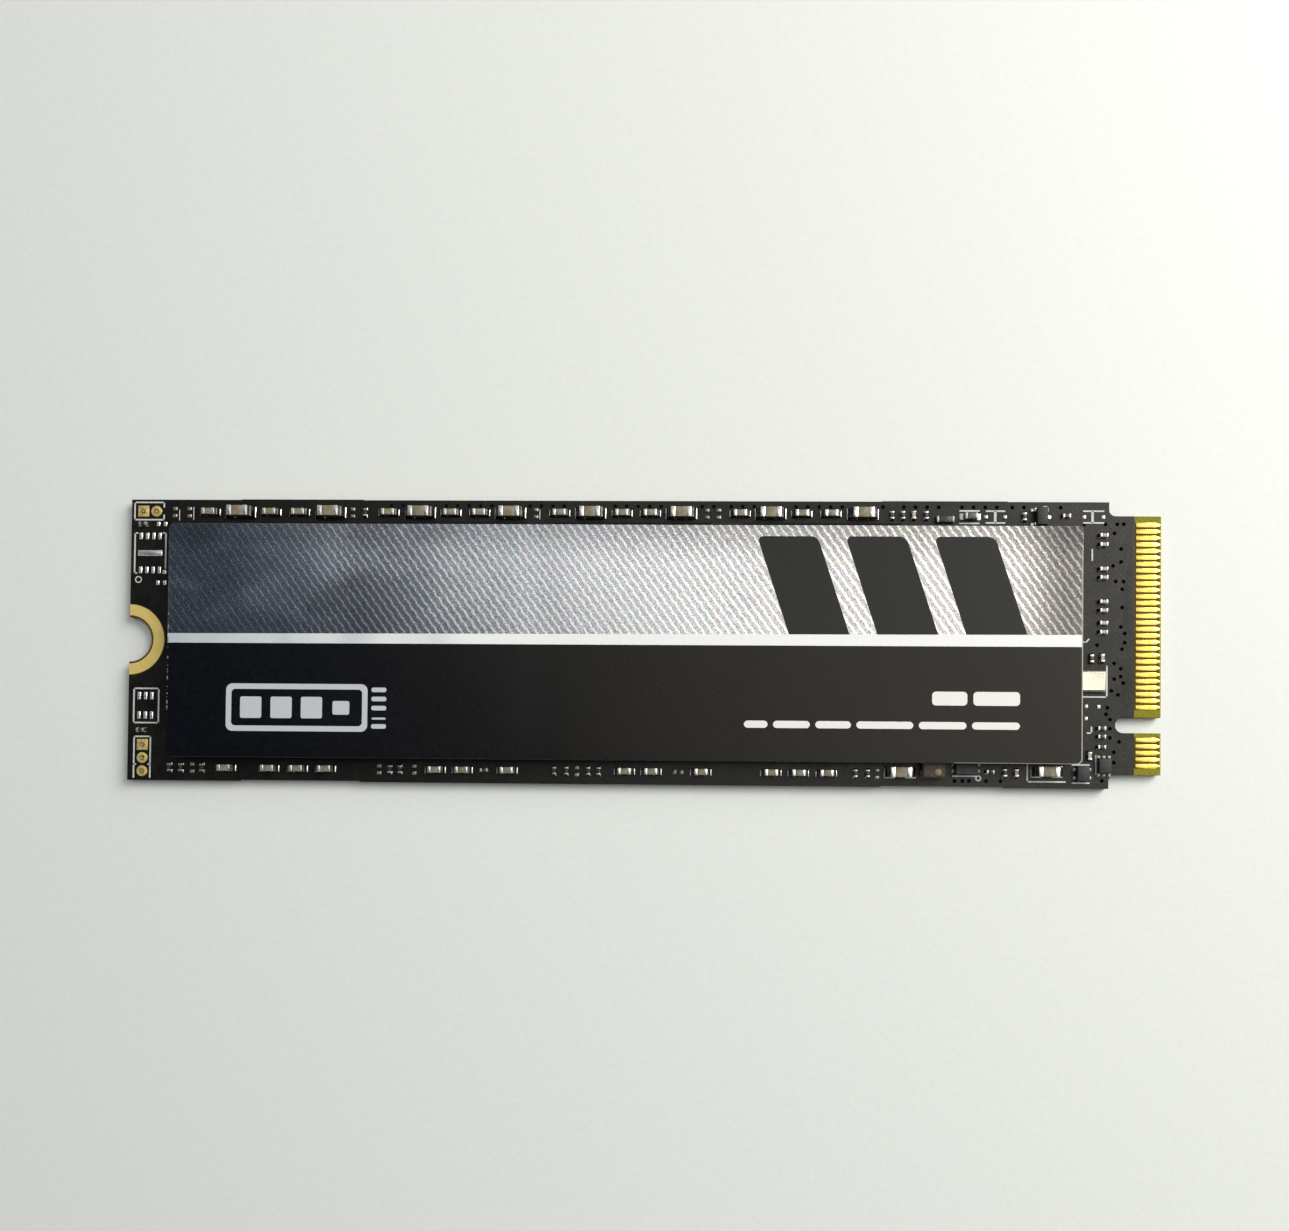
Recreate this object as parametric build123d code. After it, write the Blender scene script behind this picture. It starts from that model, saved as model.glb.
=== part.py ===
"""Plug-in solid-state drive card, 22 x 80 mm, with an M-keyed card edge.

Frame: the card lies on its underside, +X runs towards the gold card edge, +Z is the populated side,
and the origin is the middle of the underside. All sizes are in millimetres.
"""
import os

from build123d import *

# Card outline
BOARD_LENGTH = 80.0
BOARD_WIDTH = 22.0
BOARD_THICKNESS = 0.8
TONGUE_LENGTH = 4.0
SHOULDER_INSET = 1.075
SHOULDER_FILLET = 0.5
EDGE_BEVEL = 0.12
KEY_SLOT_WIDTH = 1.2
KEY_SLOT_DEPTH = 3.5
KEY_SLOT_OFFSET = 6.125
SCREW_NOTCH_RADIUS = 1.75

# Traces of the tabs that held the card in its production panel
TAB_LENGTH = 9.6
TAB_STUB = 0.04
TAB_SCAR = 0.08
TAB_FROM_SCREW_END = 13.5
TAB_FROM_CONTACT_END = 16.55

# Bare copper: card-edge contacts and the ring under the screw head
COPPER = 0.035
CONTACT_PITCH = 0.5
CONTACT_WIDTH = 0.35
CONTACT_TIP_WIDTH = 0.12
CONTACT_LENGTH = 1.82
CONTACT_TAPER = 0.32
CONTACT_SETBACK = 0.13
CONTACT_EDGE_INSET = 0.675
KEY_KEEP_OUT = 1.0
MASK_GAP = 0.11
RING_INNER_RADIUS = 1.9
RING_OUTER_RADIUS = 2.75
RING_MASK_GAP = 0.05

# Solder lands stand a little above the solder mask
LAND = 0.04
LAND_SMALL = 0.3
PLATING = 0.02

# Flash memory packages and the controller, on solder balls
NAND_LENGTH = 12.0
NAND_WIDTH = 18.0
PACKAGE_BODY = 1.05
NAND_MIN_GAP = 0.4
FIRST_NAND_GAP = 4.7
CONTROLLER_ZONE = 20.1
CONTROLLER_SIDE = 11.0
CONTROLLER_FROM_CONTACT_END = 12.8
CONTROLLER_Y = 2.8
BALL_HEIGHT = 0.25
BALL_WIDTH = 0.42
BALL_PITCH = 1.0
BALL_MARGIN = 1.5
PIN_MARK_RADIUS = 0.5
PIN_MARK_SIDES = 8
PIN_MARK_INSET = 1.3
PIN_MARK_DEPTH = 0.05

# Foil label over the packages
LABEL_THICKNESS = 0.15
LABEL_WIDTH = 18.0
LABEL_SCREW_GAP = 3.7
LABEL_CONTACT_GAP = 6.4
LABEL_Y = -0.2
LABEL_CORNER = 0.4

# Chip sizes: length, width, height, plated end, land span, gap between lands, land width
BULK_LENGTH = 1.6
BULK_WIDTH = 0.8
BULK_HEIGHT = 0.8
BULK_END = 0.36
BULK_LAND_SPAN = 2.45
BULK_LAND_GAP = 0.8
BULK_LAND_WIDTH = 0.9
BYPASS_LENGTH = 1.0
BYPASS_WIDTH = 0.5
BYPASS_HEIGHT = 0.5
BYPASS_END = 0.24
BYPASS_LAND_SPAN = 1.65
BYPASS_LAND_GAP = 0.5
BYPASS_LAND_WIDTH = 0.56
TINY_LENGTH = 0.6
TINY_WIDTH = 0.3
TINY_HEIGHT = 0.3
TINY_END = 0.15
TINY_LAND_SPAN = 0.82
TINY_LAND_GAP = 0.28
TINY_LAND_WIDTH = 0.34
RESISTOR_HEIGHT = 0.23
SENSE_LENGTH = 1.36
SENSE_WIDTH = 0.5
SENSE_HEIGHT = 0.35
SENSE_END = 0.2

# Larger power and timing parts
INDUCTOR_LENGTH = 2.0
INDUCTOR_WIDTH = 1.7
INDUCTOR_HEIGHT = 0.9
INDUCTOR_PAD = 0.55
INDUCTOR_PAD_HEIGHT = 0.08
POWER_IC_SIDE = 4.0
POWER_IC_HEIGHT = 0.75
POWER_IC_LEAD_COUNT = 4
POWER_IC_LEAD_PITCH = 0.8
POWER_IC_LEAD_WIDTH = 0.35
POWER_IC_LEAD_REACH = 0.15
CRYSTAL_LENGTH = 2.0
CRYSTAL_WIDTH = 1.6
CRYSTAL_BASE_HEIGHT = 0.3
CRYSTAL_LID_HEIGHT = 0.15
CRYSTAL_LID_INSET = 0.1
CRYSTAL_LAND_LENGTH = 0.65
CRYSTAL_LAND_WIDTH = 0.55

# Small moulded packages with leads
TRANSISTOR_LENGTH = 0.84
TRANSISTOR_WIDTH = 1.42
TRANSISTOR_HEIGHT = 0.65
TRANSISTOR_STANDOFF = 0.05
TRANSISTOR_LEAD_SPREAD = 1.1
GULL_REACH = 0.34
GULL_FOOT = 0.16
GULL_THICKNESS = 0.1
GULL_RISE = 0.26
GULL_WIDTH = 0.24
LEVEL_SHIFTER_LENGTH = 0.97
LEVEL_SHIFTER_WIDTH = 1.17
LEVEL_SHIFTER_HEIGHT = 0.5
LEVEL_SHIFTER_LEAD_PITCH = 0.4
LEVEL_SHIFTER_LEAD_COUNT = 3
LOAD_SWITCH_LENGTH = 0.95
LOAD_SWITCH_WIDTH = 1.19
LOAD_SWITCH_HEIGHT = 0.5
LOAD_SWITCH_LEAD_PITCH = 0.63
LOAD_SWITCH_LEAD_COUNT = 2
REGULATOR_LENGTH = 1.76
REGULATOR_WIDTH = 1.6
REGULATOR_HEIGHT = 0.6
REGULATOR_LEAD_PITCH = 0.5
REGULATOR_LEAD_COUNT = 3
FLAT_LEAD_REACH = 0.2
FLAT_LEAD_WIDTH = 0.22
FLAT_LEAD_THICKNESS = 0.12

# Plated header pads at the screw end
HEADER_PAD = 0.86
ROUND_PAD_SIDES = 16
HEADER_PITCH = 1.03
TWO_PIN_FROM_SCREW_END = 0.95
TWO_PIN_FROM_EDGE = 0.92
THREE_PIN_FROM_SCREW_END = 1.17
THREE_PIN_FROM_EDGE = 0.71

# Spare footprints at the screw end
SPARE_PITCH = 0.5
SPARE_PAD_WIDTH = 0.26
FLASH_COLUMNS = 4
FLASH_PAD_LENGTH = 0.52
FLASH_ROW_SPACING = 2.67
FLASH_BAR_LENGTH = 1.95
FLASH_BAR_WIDTH = 0.44
SIX_COLUMNS = 3
SIX_PAD_LENGTH = 0.58
SIX_ROW_SPACING = 1.52

# Places along the two long rows, measured from the screw end
ROW_ZONE_FROM_CONTACT_END = 21.1
UPPER_BULK_AT = (8.65, 15.75, 22.8, 29.85, 36.1, 43.15, 50.05, 57.15)
UPPER_BYPASS_AT = (6.25, 11.05, 13.3, 20.35, 25.2, 27.45, 33.7, 38.55, 40.75, 47.7, 52.45, 54.7)
UPPER_SPARE_AT = (3.45, 4.6, 17.5, 31.85, 45.15, 46.05)
UPPER_RESISTOR_AT = (18.5,)
LOWER_BYPASS_AT = (7.8, 11.2, 13.45, 15.65, 24.25, 26.35, 29.85, 38.95, 41.0, 44.85, 50.25, 52.35, 54.5)
LOWER_SPARE_AT = (5.15, 19.85, 22.6, 35.25, 58.4)
LOWER_RESISTOR_AT = (3.4, 4.3, 5.95, 20.7, 21.5, 33.5, 34.45, 36.15, 36.95, 56.7, 57.65)
LOWER_FLAT_RESISTOR_AT = (28.05,)
LOWER_FLAT_SPARE_AT = (43.1,)

# Places between the packages and the contacts: from the contact end, and y from the long centre line
LANE_FROM_CONTACT_END = 4.48
LANE_Y = (8.4, 7.7, 5.82, 5.16, 3.3, 2.63, 1.67, 0.97)
MIDDLE_RESISTOR_AT = (5.36, -1.06)
MIDDLE_TINY_CAP_AT = (4.56, -1.02)
SINGLE_LANDS = ((5.73, -4.71), (4.78, -4.73), (5.73, -5.65))
CRYSTAL_AT = (5.32, -2.81)
COIL_1_AT = (12.0, -6.6)
COIL_2_AT = (8.6, -6.6)
POWER_IC_AT = (16.4, -5.5)

# Places in the two long rows past the packages: from the contact end, and in from the row's line
UPPER_STANDING_RESISTORS = ((20.62, 0.09), (19.79, 0.09), (18.0, 0.09), (10.5, 0.18))
UPPER_LYING_RESISTOR_AT = (7.3, 0.11)
UPPER_TINY_CAP_AT = (18.97, 0.09)
SPARE_DIODES = ((12.68, 0.18), (5.2, 0.16))
DIODE_LAND_SPACING = 1.45
BEAD_AT = (14.63, 0.18)
SENSE_AT = (16.57, 0.42)
TRANSISTOR_AT = (9.24, 0.22)
LOWER_STANDING_RESISTOR_AT = (11.9, 0.14)
LOWER_LYING_RESISTORS = ((13.01, 0.22), (4.57, 3.6), (4.57, 2.96), (4.57, 2.17))
LOWER_TINY_CAPS = ((5.5, 1.48), (11.04, 0.13))
POWER_BULK = ((19.87, 0.11), (8.69, 0.25))
LOAD_SWITCH_AT = (6.02, 0.13)
LEVEL_SHIFTER_AT = (4.39, 0.73)
REGULATOR_AT = (14.86, 0.77)
CHOKE_AT = (17.43, 0.71)

# Places at the screw end: from that end, and in from the nearer long edge
UPPER_LEFT_RESISTOR_AT = (0.98, 1.94)
LOWER_LEFT_RESISTOR_AT = (1.06, 3.92)
UPPER_LEFT_SPARES = ((2.43, 1.93), (2.46, 6.54))
UPPER_LEFT_LAND_AT = (2.7, 5.7)
FLASH_AT = (1.54, 4.21)
SIX_AT = (1.37, 5.83)

# Values that follow from the sizes above
LEFT = -BOARD_LENGTH / 2
RIGHT = BOARD_LENGTH / 2
SHOULDER_X = RIGHT - TONGUE_LENGTH
TONGUE_WIDTH = BOARD_WIDTH - 2 * SHOULDER_INSET
SEAT = BOARD_THICKNESS + LAND
PACKAGE_BOTTOM = BOARD_THICKNESS + BALL_HEIGHT
PACKAGE_TOP = PACKAGE_BOTTOM + PACKAGE_BODY
ROW_Y = (BOARD_WIDTH + NAND_WIDTH) / 4
BARE_LENGTH = CONTACT_SETBACK + CONTACT_LENGTH + MASK_GAP
ROW_END = BOARD_LENGTH - ROW_ZONE_FROM_CONTACT_END
FIRST_NAND_X = LEFT + FIRST_NAND_GAP + NAND_LENGTH / 2
NAND_ROOM = BOARD_LENGTH - FIRST_NAND_GAP - CONTROLLER_ZONE - NAND_LENGTH

BULK = (BULK_LENGTH, BULK_WIDTH, BULK_HEIGHT, BULK_END)
BULK_LANDS = (BULK_LAND_SPAN, BULK_LAND_GAP, BULK_LAND_WIDTH)
BYPASS = (BYPASS_LENGTH, BYPASS_WIDTH, BYPASS_HEIGHT, BYPASS_END)
BYPASS_LANDS = (BYPASS_LAND_SPAN, BYPASS_LAND_GAP, BYPASS_LAND_WIDTH)
TINY = (TINY_LENGTH, TINY_WIDTH, TINY_HEIGHT, TINY_END)
TINY_LANDS = (TINY_LAND_SPAN, TINY_LAND_GAP, TINY_LAND_WIDTH)
RESISTOR = (TINY_LENGTH, TINY_WIDTH, RESISTOR_HEIGHT, TINY_END)
SENSE = (SENSE_LENGTH, SENSE_WIDTH, SENSE_HEIGHT, SENSE_END)

ON_BASE = (Align.CENTER, Align.CENTER, Align.MIN)
TOLERANCE = 1e-6
parts = {}


def fitting(room, pitch):
    """How many pieces at this pitch fit in the room between the first and the last."""
    return int(room / pitch + TOLERANCE) + 1


def block(x, y, z, along_x, along_y, height):
    """A box that stands on height z, centred on x and y."""
    return Pos(x, y, z) * Box(along_x, along_y, height, align=ON_BASE)


def near_contacts(place):
    """Card coordinates of a place measured from the contact end and the long centre line."""
    return RIGHT - place[0], place[1]


def upper_right(place):
    """Card coordinates of a place measured from the contact end and the upper row's line."""
    return RIGHT - place[0], ROW_Y - place[1]


def lower_right(place):
    """Card coordinates of a place measured from the contact end and the lower row's line."""
    return RIGHT - place[0], place[1] - ROW_Y


def upper_left(place):
    """Card coordinates of a place measured from the screw end and the upper long edge."""
    return LEFT + place[0], BOARD_WIDTH / 2 - place[1]


def lower_left(place):
    """Card coordinates of a place measured from the screw end and the lower long edge."""
    return LEFT + place[0], place[1] - BOARD_WIDTH / 2


def along_row(places, y, half_span):
    """Card coordinates of the places in a long row that end before the power parts."""
    return [(LEFT + at, y) for at in places if at + half_span < ROW_END]


def turned_block(x, y, z, along, across, height, standing, shift=0.0):
    """A block whose length lies along X, or along Y if it is standing, moved along its own length."""
    if standing:
        return block(x, y + shift, z, across, along, height)
    return block(x + shift, y, z, along, across, height)


def chip_body(place, size, standing=False):
    """The ceramic between a chip's two plated ends."""
    length, width, height, end = size
    inner = (length - 2 * end, width - 2 * PLATING, height - 2 * PLATING)
    return turned_block(*place, SEAT + PLATING, *inner, standing)


def chip_ends(place, size, standing=False):
    """A chip's two plated ends."""
    length, width, height, end = size
    shift = (length - end) / 2
    return [turned_block(*place, SEAT, end, width, height, standing, s) for s in (-shift, shift)]


def land_pair(place, size, standing=False):
    """The two solder lands under a chip."""
    span, gap, width = size
    along = (span - gap) / 2
    shift = (span + gap) / 4
    return [turned_block(*place, BOARD_THICKNESS, along, width, LAND, standing, s) for s in (-shift, shift)]


def pairs(makes, places, size, standing=False):
    """All the ends or lands of several chips, in one list."""
    return [piece for place in places for piece in makes(place, size, standing)]


def card_outline():
    """The card's flat outline, with its tongue, key slot, screw notch and tab traces."""
    body_length = BOARD_LENGTH - TONGUE_LENGTH
    outline = Pos(LEFT + body_length / 2, 0) * Rectangle(body_length, BOARD_WIDTH)
    outline += Pos(RIGHT - TONGUE_LENGTH, 0) * Rectangle(2 * TONGUE_LENGTH, TONGUE_WIDTH)
    shoulder = [v for v in outline.vertices() if abs(v.X - SHOULDER_X) < TOLERANCE]
    inner_corners = [v for v in shoulder if abs(v.Y) < TONGUE_WIDTH / 2 + TOLERANCE]
    outline = fillet(inner_corners, SHOULDER_FILLET)
    for x in (LEFT + TAB_FROM_SCREW_END, RIGHT - TAB_FROM_CONTACT_END):
        outline += Pos(x, BOARD_WIDTH / 2) * Rectangle(TAB_LENGTH, 2 * TAB_STUB)
        outline -= Pos(x, -BOARD_WIDTH / 2) * Rectangle(TAB_LENGTH, 2 * TAB_SCAR)
    slot_centre = RIGHT - KEY_SLOT_DEPTH + KEY_SLOT_WIDTH / 2
    outline -= Pos(slot_centre, -KEY_SLOT_OFFSET) * Circle(KEY_SLOT_WIDTH / 2)
    slot = Rectangle(KEY_SLOT_DEPTH, KEY_SLOT_WIDTH)
    outline -= Pos(slot_centre + KEY_SLOT_DEPTH / 2, -KEY_SLOT_OFFSET) * slot
    outline -= Pos(LEFT, 0) * Circle(SCREW_NOTCH_RADIUS)
    return outline


def circuit_board():
    """The laminate card. The solder mask leaves the contacts' strip and the screw ring's pocket bare."""
    board = extrude(card_outline(), BOARD_THICKNESS)
    pocket = Cylinder(RING_OUTER_RADIUS + RING_MASK_GAP, COPPER, align=ON_BASE)
    pocket -= Cylinder(RING_INNER_RADIUS, COPPER, align=ON_BASE)
    for z in (0, BOARD_THICKNESS - COPPER):
        board -= block(RIGHT, 0, z, 2 * BARE_LENGTH, TONGUE_WIDTH + SHOULDER_INSET, COPPER)
        board -= Pos(LEFT, 0, z) * pocket
    tips = [e for e in board.edges().filter_by(Axis.Y) if abs(e.center().X - RIGHT) < TOLERANCE]
    return chamfer(tips, EDGE_BEVEL)


def contact_row(first_y, z):
    """One side's gold contacts, tapered at the tip, with the key slot's place left free."""
    tip = RIGHT - CONTACT_SETBACK
    wide = CONTACT_WIDTH / 2
    narrow = CONTACT_TIP_WIDTH / 2
    shape = Polygon(
        (tip - CONTACT_LENGTH, wide), (tip - CONTACT_LENGTH, -wide), (tip - CONTACT_TAPER, -wide),
        (tip, -narrow), (tip, narrow), (tip - CONTACT_TAPER, wide), align=None,
    )
    contact = extrude(shape, COPPER)
    count = fitting(first_y + TONGUE_WIDTH / 2 - CONTACT_EDGE_INSET, CONTACT_PITCH)
    rows = [first_y - i * CONTACT_PITCH for i in range(count)]
    return [Pos(0, y, z) * contact for y in rows if abs(y + KEY_SLOT_OFFSET) > KEY_KEEP_OUT]


def screw_ring(z):
    """The half ring of bare copper round the screw notch."""
    ring = Circle(RING_OUTER_RADIUS) - Circle(RING_INNER_RADIUS)
    ring &= Pos(RING_OUTER_RADIUS / 2, 0) * Rectangle(RING_OUTER_RADIUS, 2 * RING_OUTER_RADIUS)
    return Pos(LEFT, 0, z) * extrude(ring, COPPER)


def header_pads():
    """Five plated header pads: a pair and a column of three, pin one square in each."""
    square = Box(HEADER_PAD, HEADER_PAD, LAND, align=ON_BASE)
    disc = extrude(RegularPolygon(HEADER_PAD / 2, ROUND_PAD_SIDES), LAND)
    pair_y = BOARD_WIDTH / 2 - TWO_PIN_FROM_EDGE
    pair_x = LEFT + TWO_PIN_FROM_SCREW_END
    column_x = LEFT + THREE_PIN_FROM_SCREW_END
    column_y = -BOARD_WIDTH / 2 + THREE_PIN_FROM_EDGE
    pads = [Pos(pair_x, pair_y, BOARD_THICKNESS) * square]
    pads.append(Pos(pair_x + HEADER_PITCH, pair_y, BOARD_THICKNESS) * disc)
    pads.append(Pos(column_x, column_y + 2 * HEADER_PITCH, BOARD_THICKNESS) * square)
    pads += [Pos(column_x, column_y + i * HEADER_PITCH, BOARD_THICKNESS) * disc for i in range(2)]
    return pads


def ball_grid_package(x, y, length, width):
    """A moulded package with a dimple that marks its first ball."""
    package = block(x, y, PACKAGE_BOTTOM, length, width, PACKAGE_BODY)
    mark = extrude(RegularPolygon(PIN_MARK_RADIUS, PIN_MARK_SIDES), PIN_MARK_DEPTH)
    corner = (x - length / 2 + PIN_MARK_INSET, y + width / 2 - PIN_MARK_INSET, PACKAGE_TOP - PIN_MARK_DEPTH)
    return package - Pos(*corner) * mark


def ball_ring(x, y, length, width):
    """The outer ring of solder balls under a package."""
    columns = fitting(length - 2 * BALL_MARGIN, BALL_PITCH)
    rows = fitting(width - 2 * BALL_MARGIN, BALL_PITCH)
    balls = []
    for i in range(columns):
        for j in range(rows):
            if i in (0, columns - 1) or j in (0, rows - 1):
                ball_x = x + (i - (columns - 1) / 2) * BALL_PITCH
                ball_y = y + (j - (rows - 1) / 2) * BALL_PITCH
                balls.append(block(ball_x, ball_y, BOARD_THICKNESS, BALL_WIDTH, BALL_WIDTH, BALL_HEIGHT))
    return balls


def flat_leads(place, reach_from, pitch, count, standing=False):
    """Two rows of short flat leads, one on each side of a small package."""
    x, y = place
    shift = reach_from + FLAT_LEAD_REACH / 2
    leads = []
    for side in (-shift, shift):
        for i in range(count):
            offset = (i - (count - 1) / 2) * pitch
            spot = (x + offset, y) if standing else (x, y + offset)
            size = (FLAT_LEAD_REACH, FLAT_LEAD_WIDTH, FLAT_LEAD_THICKNESS)
            leads.append(turned_block(*spot, SEAT, *size, standing, side))
    return leads


def flat_lead_lands(leads):
    """A land under each flat lead, a little larger than the lead."""
    lands = []
    for lead in leads:
        box = lead.bounding_box()
        size = (box.size.X + LAND, box.size.Y + LAND)
        lands.append(block(box.center().X, box.center().Y, BOARD_THICKNESS, *size, LAND))
    return lands


def gull_lead(x, y, outward):
    """A bent lead that runs from a package's side down to its land; outward is 1 or -1 along X."""
    knee = GULL_REACH - GULL_FOOT
    shape = Polygon(
        (0, GULL_RISE), (0, GULL_RISE + GULL_THICKNESS), (knee / 2, GULL_RISE + GULL_THICKNESS),
        (knee, GULL_THICKNESS), (GULL_REACH, GULL_THICKNESS), (GULL_REACH, 0),
        (knee - GULL_THICKNESS / 2, 0), (knee / 2 - GULL_THICKNESS / 2, GULL_RISE), align=None,
    )
    lead = extrude(Plane.XZ * shape, GULL_WIDTH / 2, both=True)
    if outward < 0:
        lead = mirror(lead, Plane.YZ)
    return Pos(x, y, SEAT) * lead


def spare_rows(x, y, columns, spacing, pad_length):
    """Two rows of narrow lands for a part that isn't fitted."""
    lands = []
    for i in range(columns):
        pad_x = x + (i - (columns - 1) / 2) * SPARE_PITCH
        for side in (-spacing / 2, spacing / 2):
            lands.append(block(pad_x, y + side, BOARD_THICKNESS, SPARE_PAD_WIDTH, pad_length, LAND))
    return lands


def coil_body(place):
    """A moulded power inductor that stands on two pads."""
    return block(*place, SEAT + INDUCTOR_PAD_HEIGHT, INDUCTOR_WIDTH, INDUCTOR_LENGTH, INDUCTOR_HEIGHT)


def coil_pads(place):
    """The two metal pads on a power inductor's underside, with their lands."""
    x, y = place
    shift = (INDUCTOR_LENGTH - INDUCTOR_PAD) / 2
    height = LAND + INDUCTOR_PAD_HEIGHT
    return [block(x, y + s, BOARD_THICKNESS, INDUCTOR_WIDTH, INDUCTOR_PAD, height) for s in (-shift, shift)]


def power_ic_leads(place):
    """Leads round the underside of the power controller."""
    x, y = place
    shift = (POWER_IC_SIDE - POWER_IC_LEAD_REACH) / 2 + POWER_IC_LEAD_REACH
    leads = []
    for i in range(POWER_IC_LEAD_COUNT):
        offset = (i - (POWER_IC_LEAD_COUNT - 1) / 2) * POWER_IC_LEAD_PITCH
        size = (POWER_IC_LEAD_REACH, POWER_IC_LEAD_WIDTH, 2 * LAND)
        for side in (-shift, shift):
            leads.append(turned_block(x, y + offset, BOARD_THICKNESS, *size, False, side))
            leads.append(turned_block(x + offset, y, BOARD_THICKNESS, *size, True, side))
    return leads


def label_sheet():
    """The foil label, stuck to the tops of the packages."""
    start = LEFT + LABEL_SCREW_GAP
    end = RIGHT - LABEL_CONTACT_GAP
    sheet = RectangleRounded(end - start, LABEL_WIDTH, LABEL_CORNER)
    return Pos((start + end) / 2, LABEL_Y, PACKAGE_TOP) * extrude(sheet, LABEL_THICKNESS)


# Card, contacts and rings
parts["circuit_board"] = [circuit_board()]
top_first = TONGUE_WIDTH / 2 - CONTACT_EDGE_INSET
parts["edge_contacts_top"] = contact_row(top_first, BOARD_THICKNESS - COPPER)
parts["edge_contacts_bottom"] = contact_row(top_first - CONTACT_PITCH / 2, 0)
parts["screw_ring_top"] = [screw_ring(BOARD_THICKNESS - COPPER)]
parts["screw_ring_bottom"] = [screw_ring(0)]
parts["header_pads"] = header_pads()

# Packages on their solder balls
nand_balls = []
nand_count = fitting(NAND_ROOM, NAND_LENGTH + NAND_MIN_GAP)
nand_pitch = NAND_ROOM / max(nand_count - 1, 1)
for i in range(nand_count):
    x = FIRST_NAND_X + i * nand_pitch
    parts[f"nand_package_{i + 1}"] = [ball_grid_package(x, 0, NAND_LENGTH, NAND_WIDTH)]
    nand_balls += ball_ring(x, 0, NAND_LENGTH, NAND_WIDTH)
parts["nand_solder_balls"] = nand_balls
controller_place = near_contacts((CONTROLLER_FROM_CONTACT_END, CONTROLLER_Y))
parts["controller_package"] = [ball_grid_package(*controller_place, CONTROLLER_SIDE, CONTROLLER_SIDE)]
parts["controller_solder_balls"] = ball_ring(*controller_place, CONTROLLER_SIDE, CONTROLLER_SIDE)

# Bulk capacitors: one node for each body, one for all their plated ends
upper_bulk = along_row(UPPER_BULK_AT, ROW_Y, BULK_LAND_SPAN / 2)
lower_bulk = [lower_right(place) for place in POWER_BULK]
for number, place in enumerate(upper_bulk + lower_bulk, start=1):
    parts[f"bulk_capacitor_{number}"] = [chip_body(place, BULK)]
parts["bulk_capacitor_ends"] = pairs(chip_ends, upper_bulk + lower_bulk, BULK)

# Bypass capacitors in the two long rows
upper_bypass = along_row(UPPER_BYPASS_AT, ROW_Y, BYPASS_LAND_SPAN / 2)
lower_bypass = along_row(LOWER_BYPASS_AT, -ROW_Y, BYPASS_LAND_SPAN / 2)
parts["bypass_capacitors_upper"] = [chip_body(place, BYPASS) for place in upper_bypass]
parts["bypass_capacitor_ends_upper"] = pairs(chip_ends, upper_bypass, BYPASS)
parts["bypass_capacitors_lower"] = [chip_body(place, BYPASS) for place in lower_bypass]
parts["bypass_capacitor_ends_lower"] = pairs(chip_ends, lower_bypass, BYPASS)

# Coupling capacitors in the data lanes, and other tiny capacitors
lanes = [near_contacts((LANE_FROM_CONTACT_END, y)) for y in LANE_Y]
tiny_standing = [upper_right(UPPER_TINY_CAP_AT), near_contacts(MIDDLE_TINY_CAP_AT)]
tiny_standing += [lower_right(place) for place in LOWER_TINY_CAPS]
parts["lane_capacitors"] = [chip_body(place, TINY) for place in lanes]
parts["lane_capacitor_ends"] = pairs(chip_ends, lanes, TINY)
parts["tiny_capacitors"] = [chip_body(place, TINY, True) for place in tiny_standing]
parts["tiny_capacitor_ends"] = pairs(chip_ends, tiny_standing, TINY, True)

# Chip resistors
half_tiny = TINY_LAND_WIDTH / 2
upper_standing = along_row(UPPER_RESISTOR_AT, ROW_Y, half_tiny)
lower_standing = along_row(LOWER_RESISTOR_AT, -ROW_Y, half_tiny)
right_standing = [upper_right(place) for place in UPPER_STANDING_RESISTORS]
right_standing += [near_contacts(MIDDLE_RESISTOR_AT), lower_right(LOWER_STANDING_RESISTOR_AT)]
standing_resistors = upper_standing + lower_standing + right_standing
lower_lying = along_row(LOWER_FLAT_RESISTOR_AT, -ROW_Y, TINY_LAND_SPAN / 2)
screw_end_lying = [upper_left(UPPER_LEFT_RESISTOR_AT), lower_left(LOWER_LEFT_RESISTOR_AT)]
right_lying = [upper_right(UPPER_LYING_RESISTOR_AT)]
right_lying += [lower_right(place) for place in LOWER_LYING_RESISTORS]
lying_resistors = lower_lying + screw_end_lying + right_lying
resistors = [chip_body(place, RESISTOR, True) for place in standing_resistors]
resistors += [chip_body(place, RESISTOR) for place in lying_resistors]
parts["chip_resistors"] = resistors
resistor_ends = pairs(chip_ends, standing_resistors, RESISTOR, True)
resistor_ends += pairs(chip_ends, lying_resistors, RESISTOR)
parts["chip_resistor_ends"] = resistor_ends
bead_place = upper_right(BEAD_AT)
sense_place = upper_right(SENSE_AT)
parts["ferrite_bead"] = [chip_body(bead_place, BYPASS)]
parts["sense_resistor"] = [chip_body(sense_place, SENSE)]
parts["bead_and_sense_ends"] = chip_ends(bead_place, BYPASS) + chip_ends(sense_place, SENSE)

# Power inductors, power controller and crystal
coils = {
    "power_choke": lower_right(CHOKE_AT),
    "power_inductor_1": near_contacts(COIL_1_AT),
    "power_inductor_2": near_contacts(COIL_2_AT),
}
for name, place in coils.items():
    parts[name] = [coil_body(place)]
parts["inductor_pads"] = [pad for place in coils.values() for pad in coil_pads(place)]
power_ic_place = near_contacts(POWER_IC_AT)
parts["power_ic"] = [block(*power_ic_place, BOARD_THICKNESS, POWER_IC_SIDE, POWER_IC_SIDE, POWER_IC_HEIGHT)]
parts["power_ic_leads"] = power_ic_leads(power_ic_place)
crystal_place = near_contacts(CRYSTAL_AT)
lid_length = CRYSTAL_LENGTH - 2 * CRYSTAL_LID_INSET
lid_width = CRYSTAL_WIDTH - 2 * CRYSTAL_LID_INSET
lid_base = SEAT + CRYSTAL_BASE_HEIGHT
parts["crystal_base"] = [block(*crystal_place, SEAT, CRYSTAL_LENGTH, CRYSTAL_WIDTH, CRYSTAL_BASE_HEIGHT)]
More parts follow.
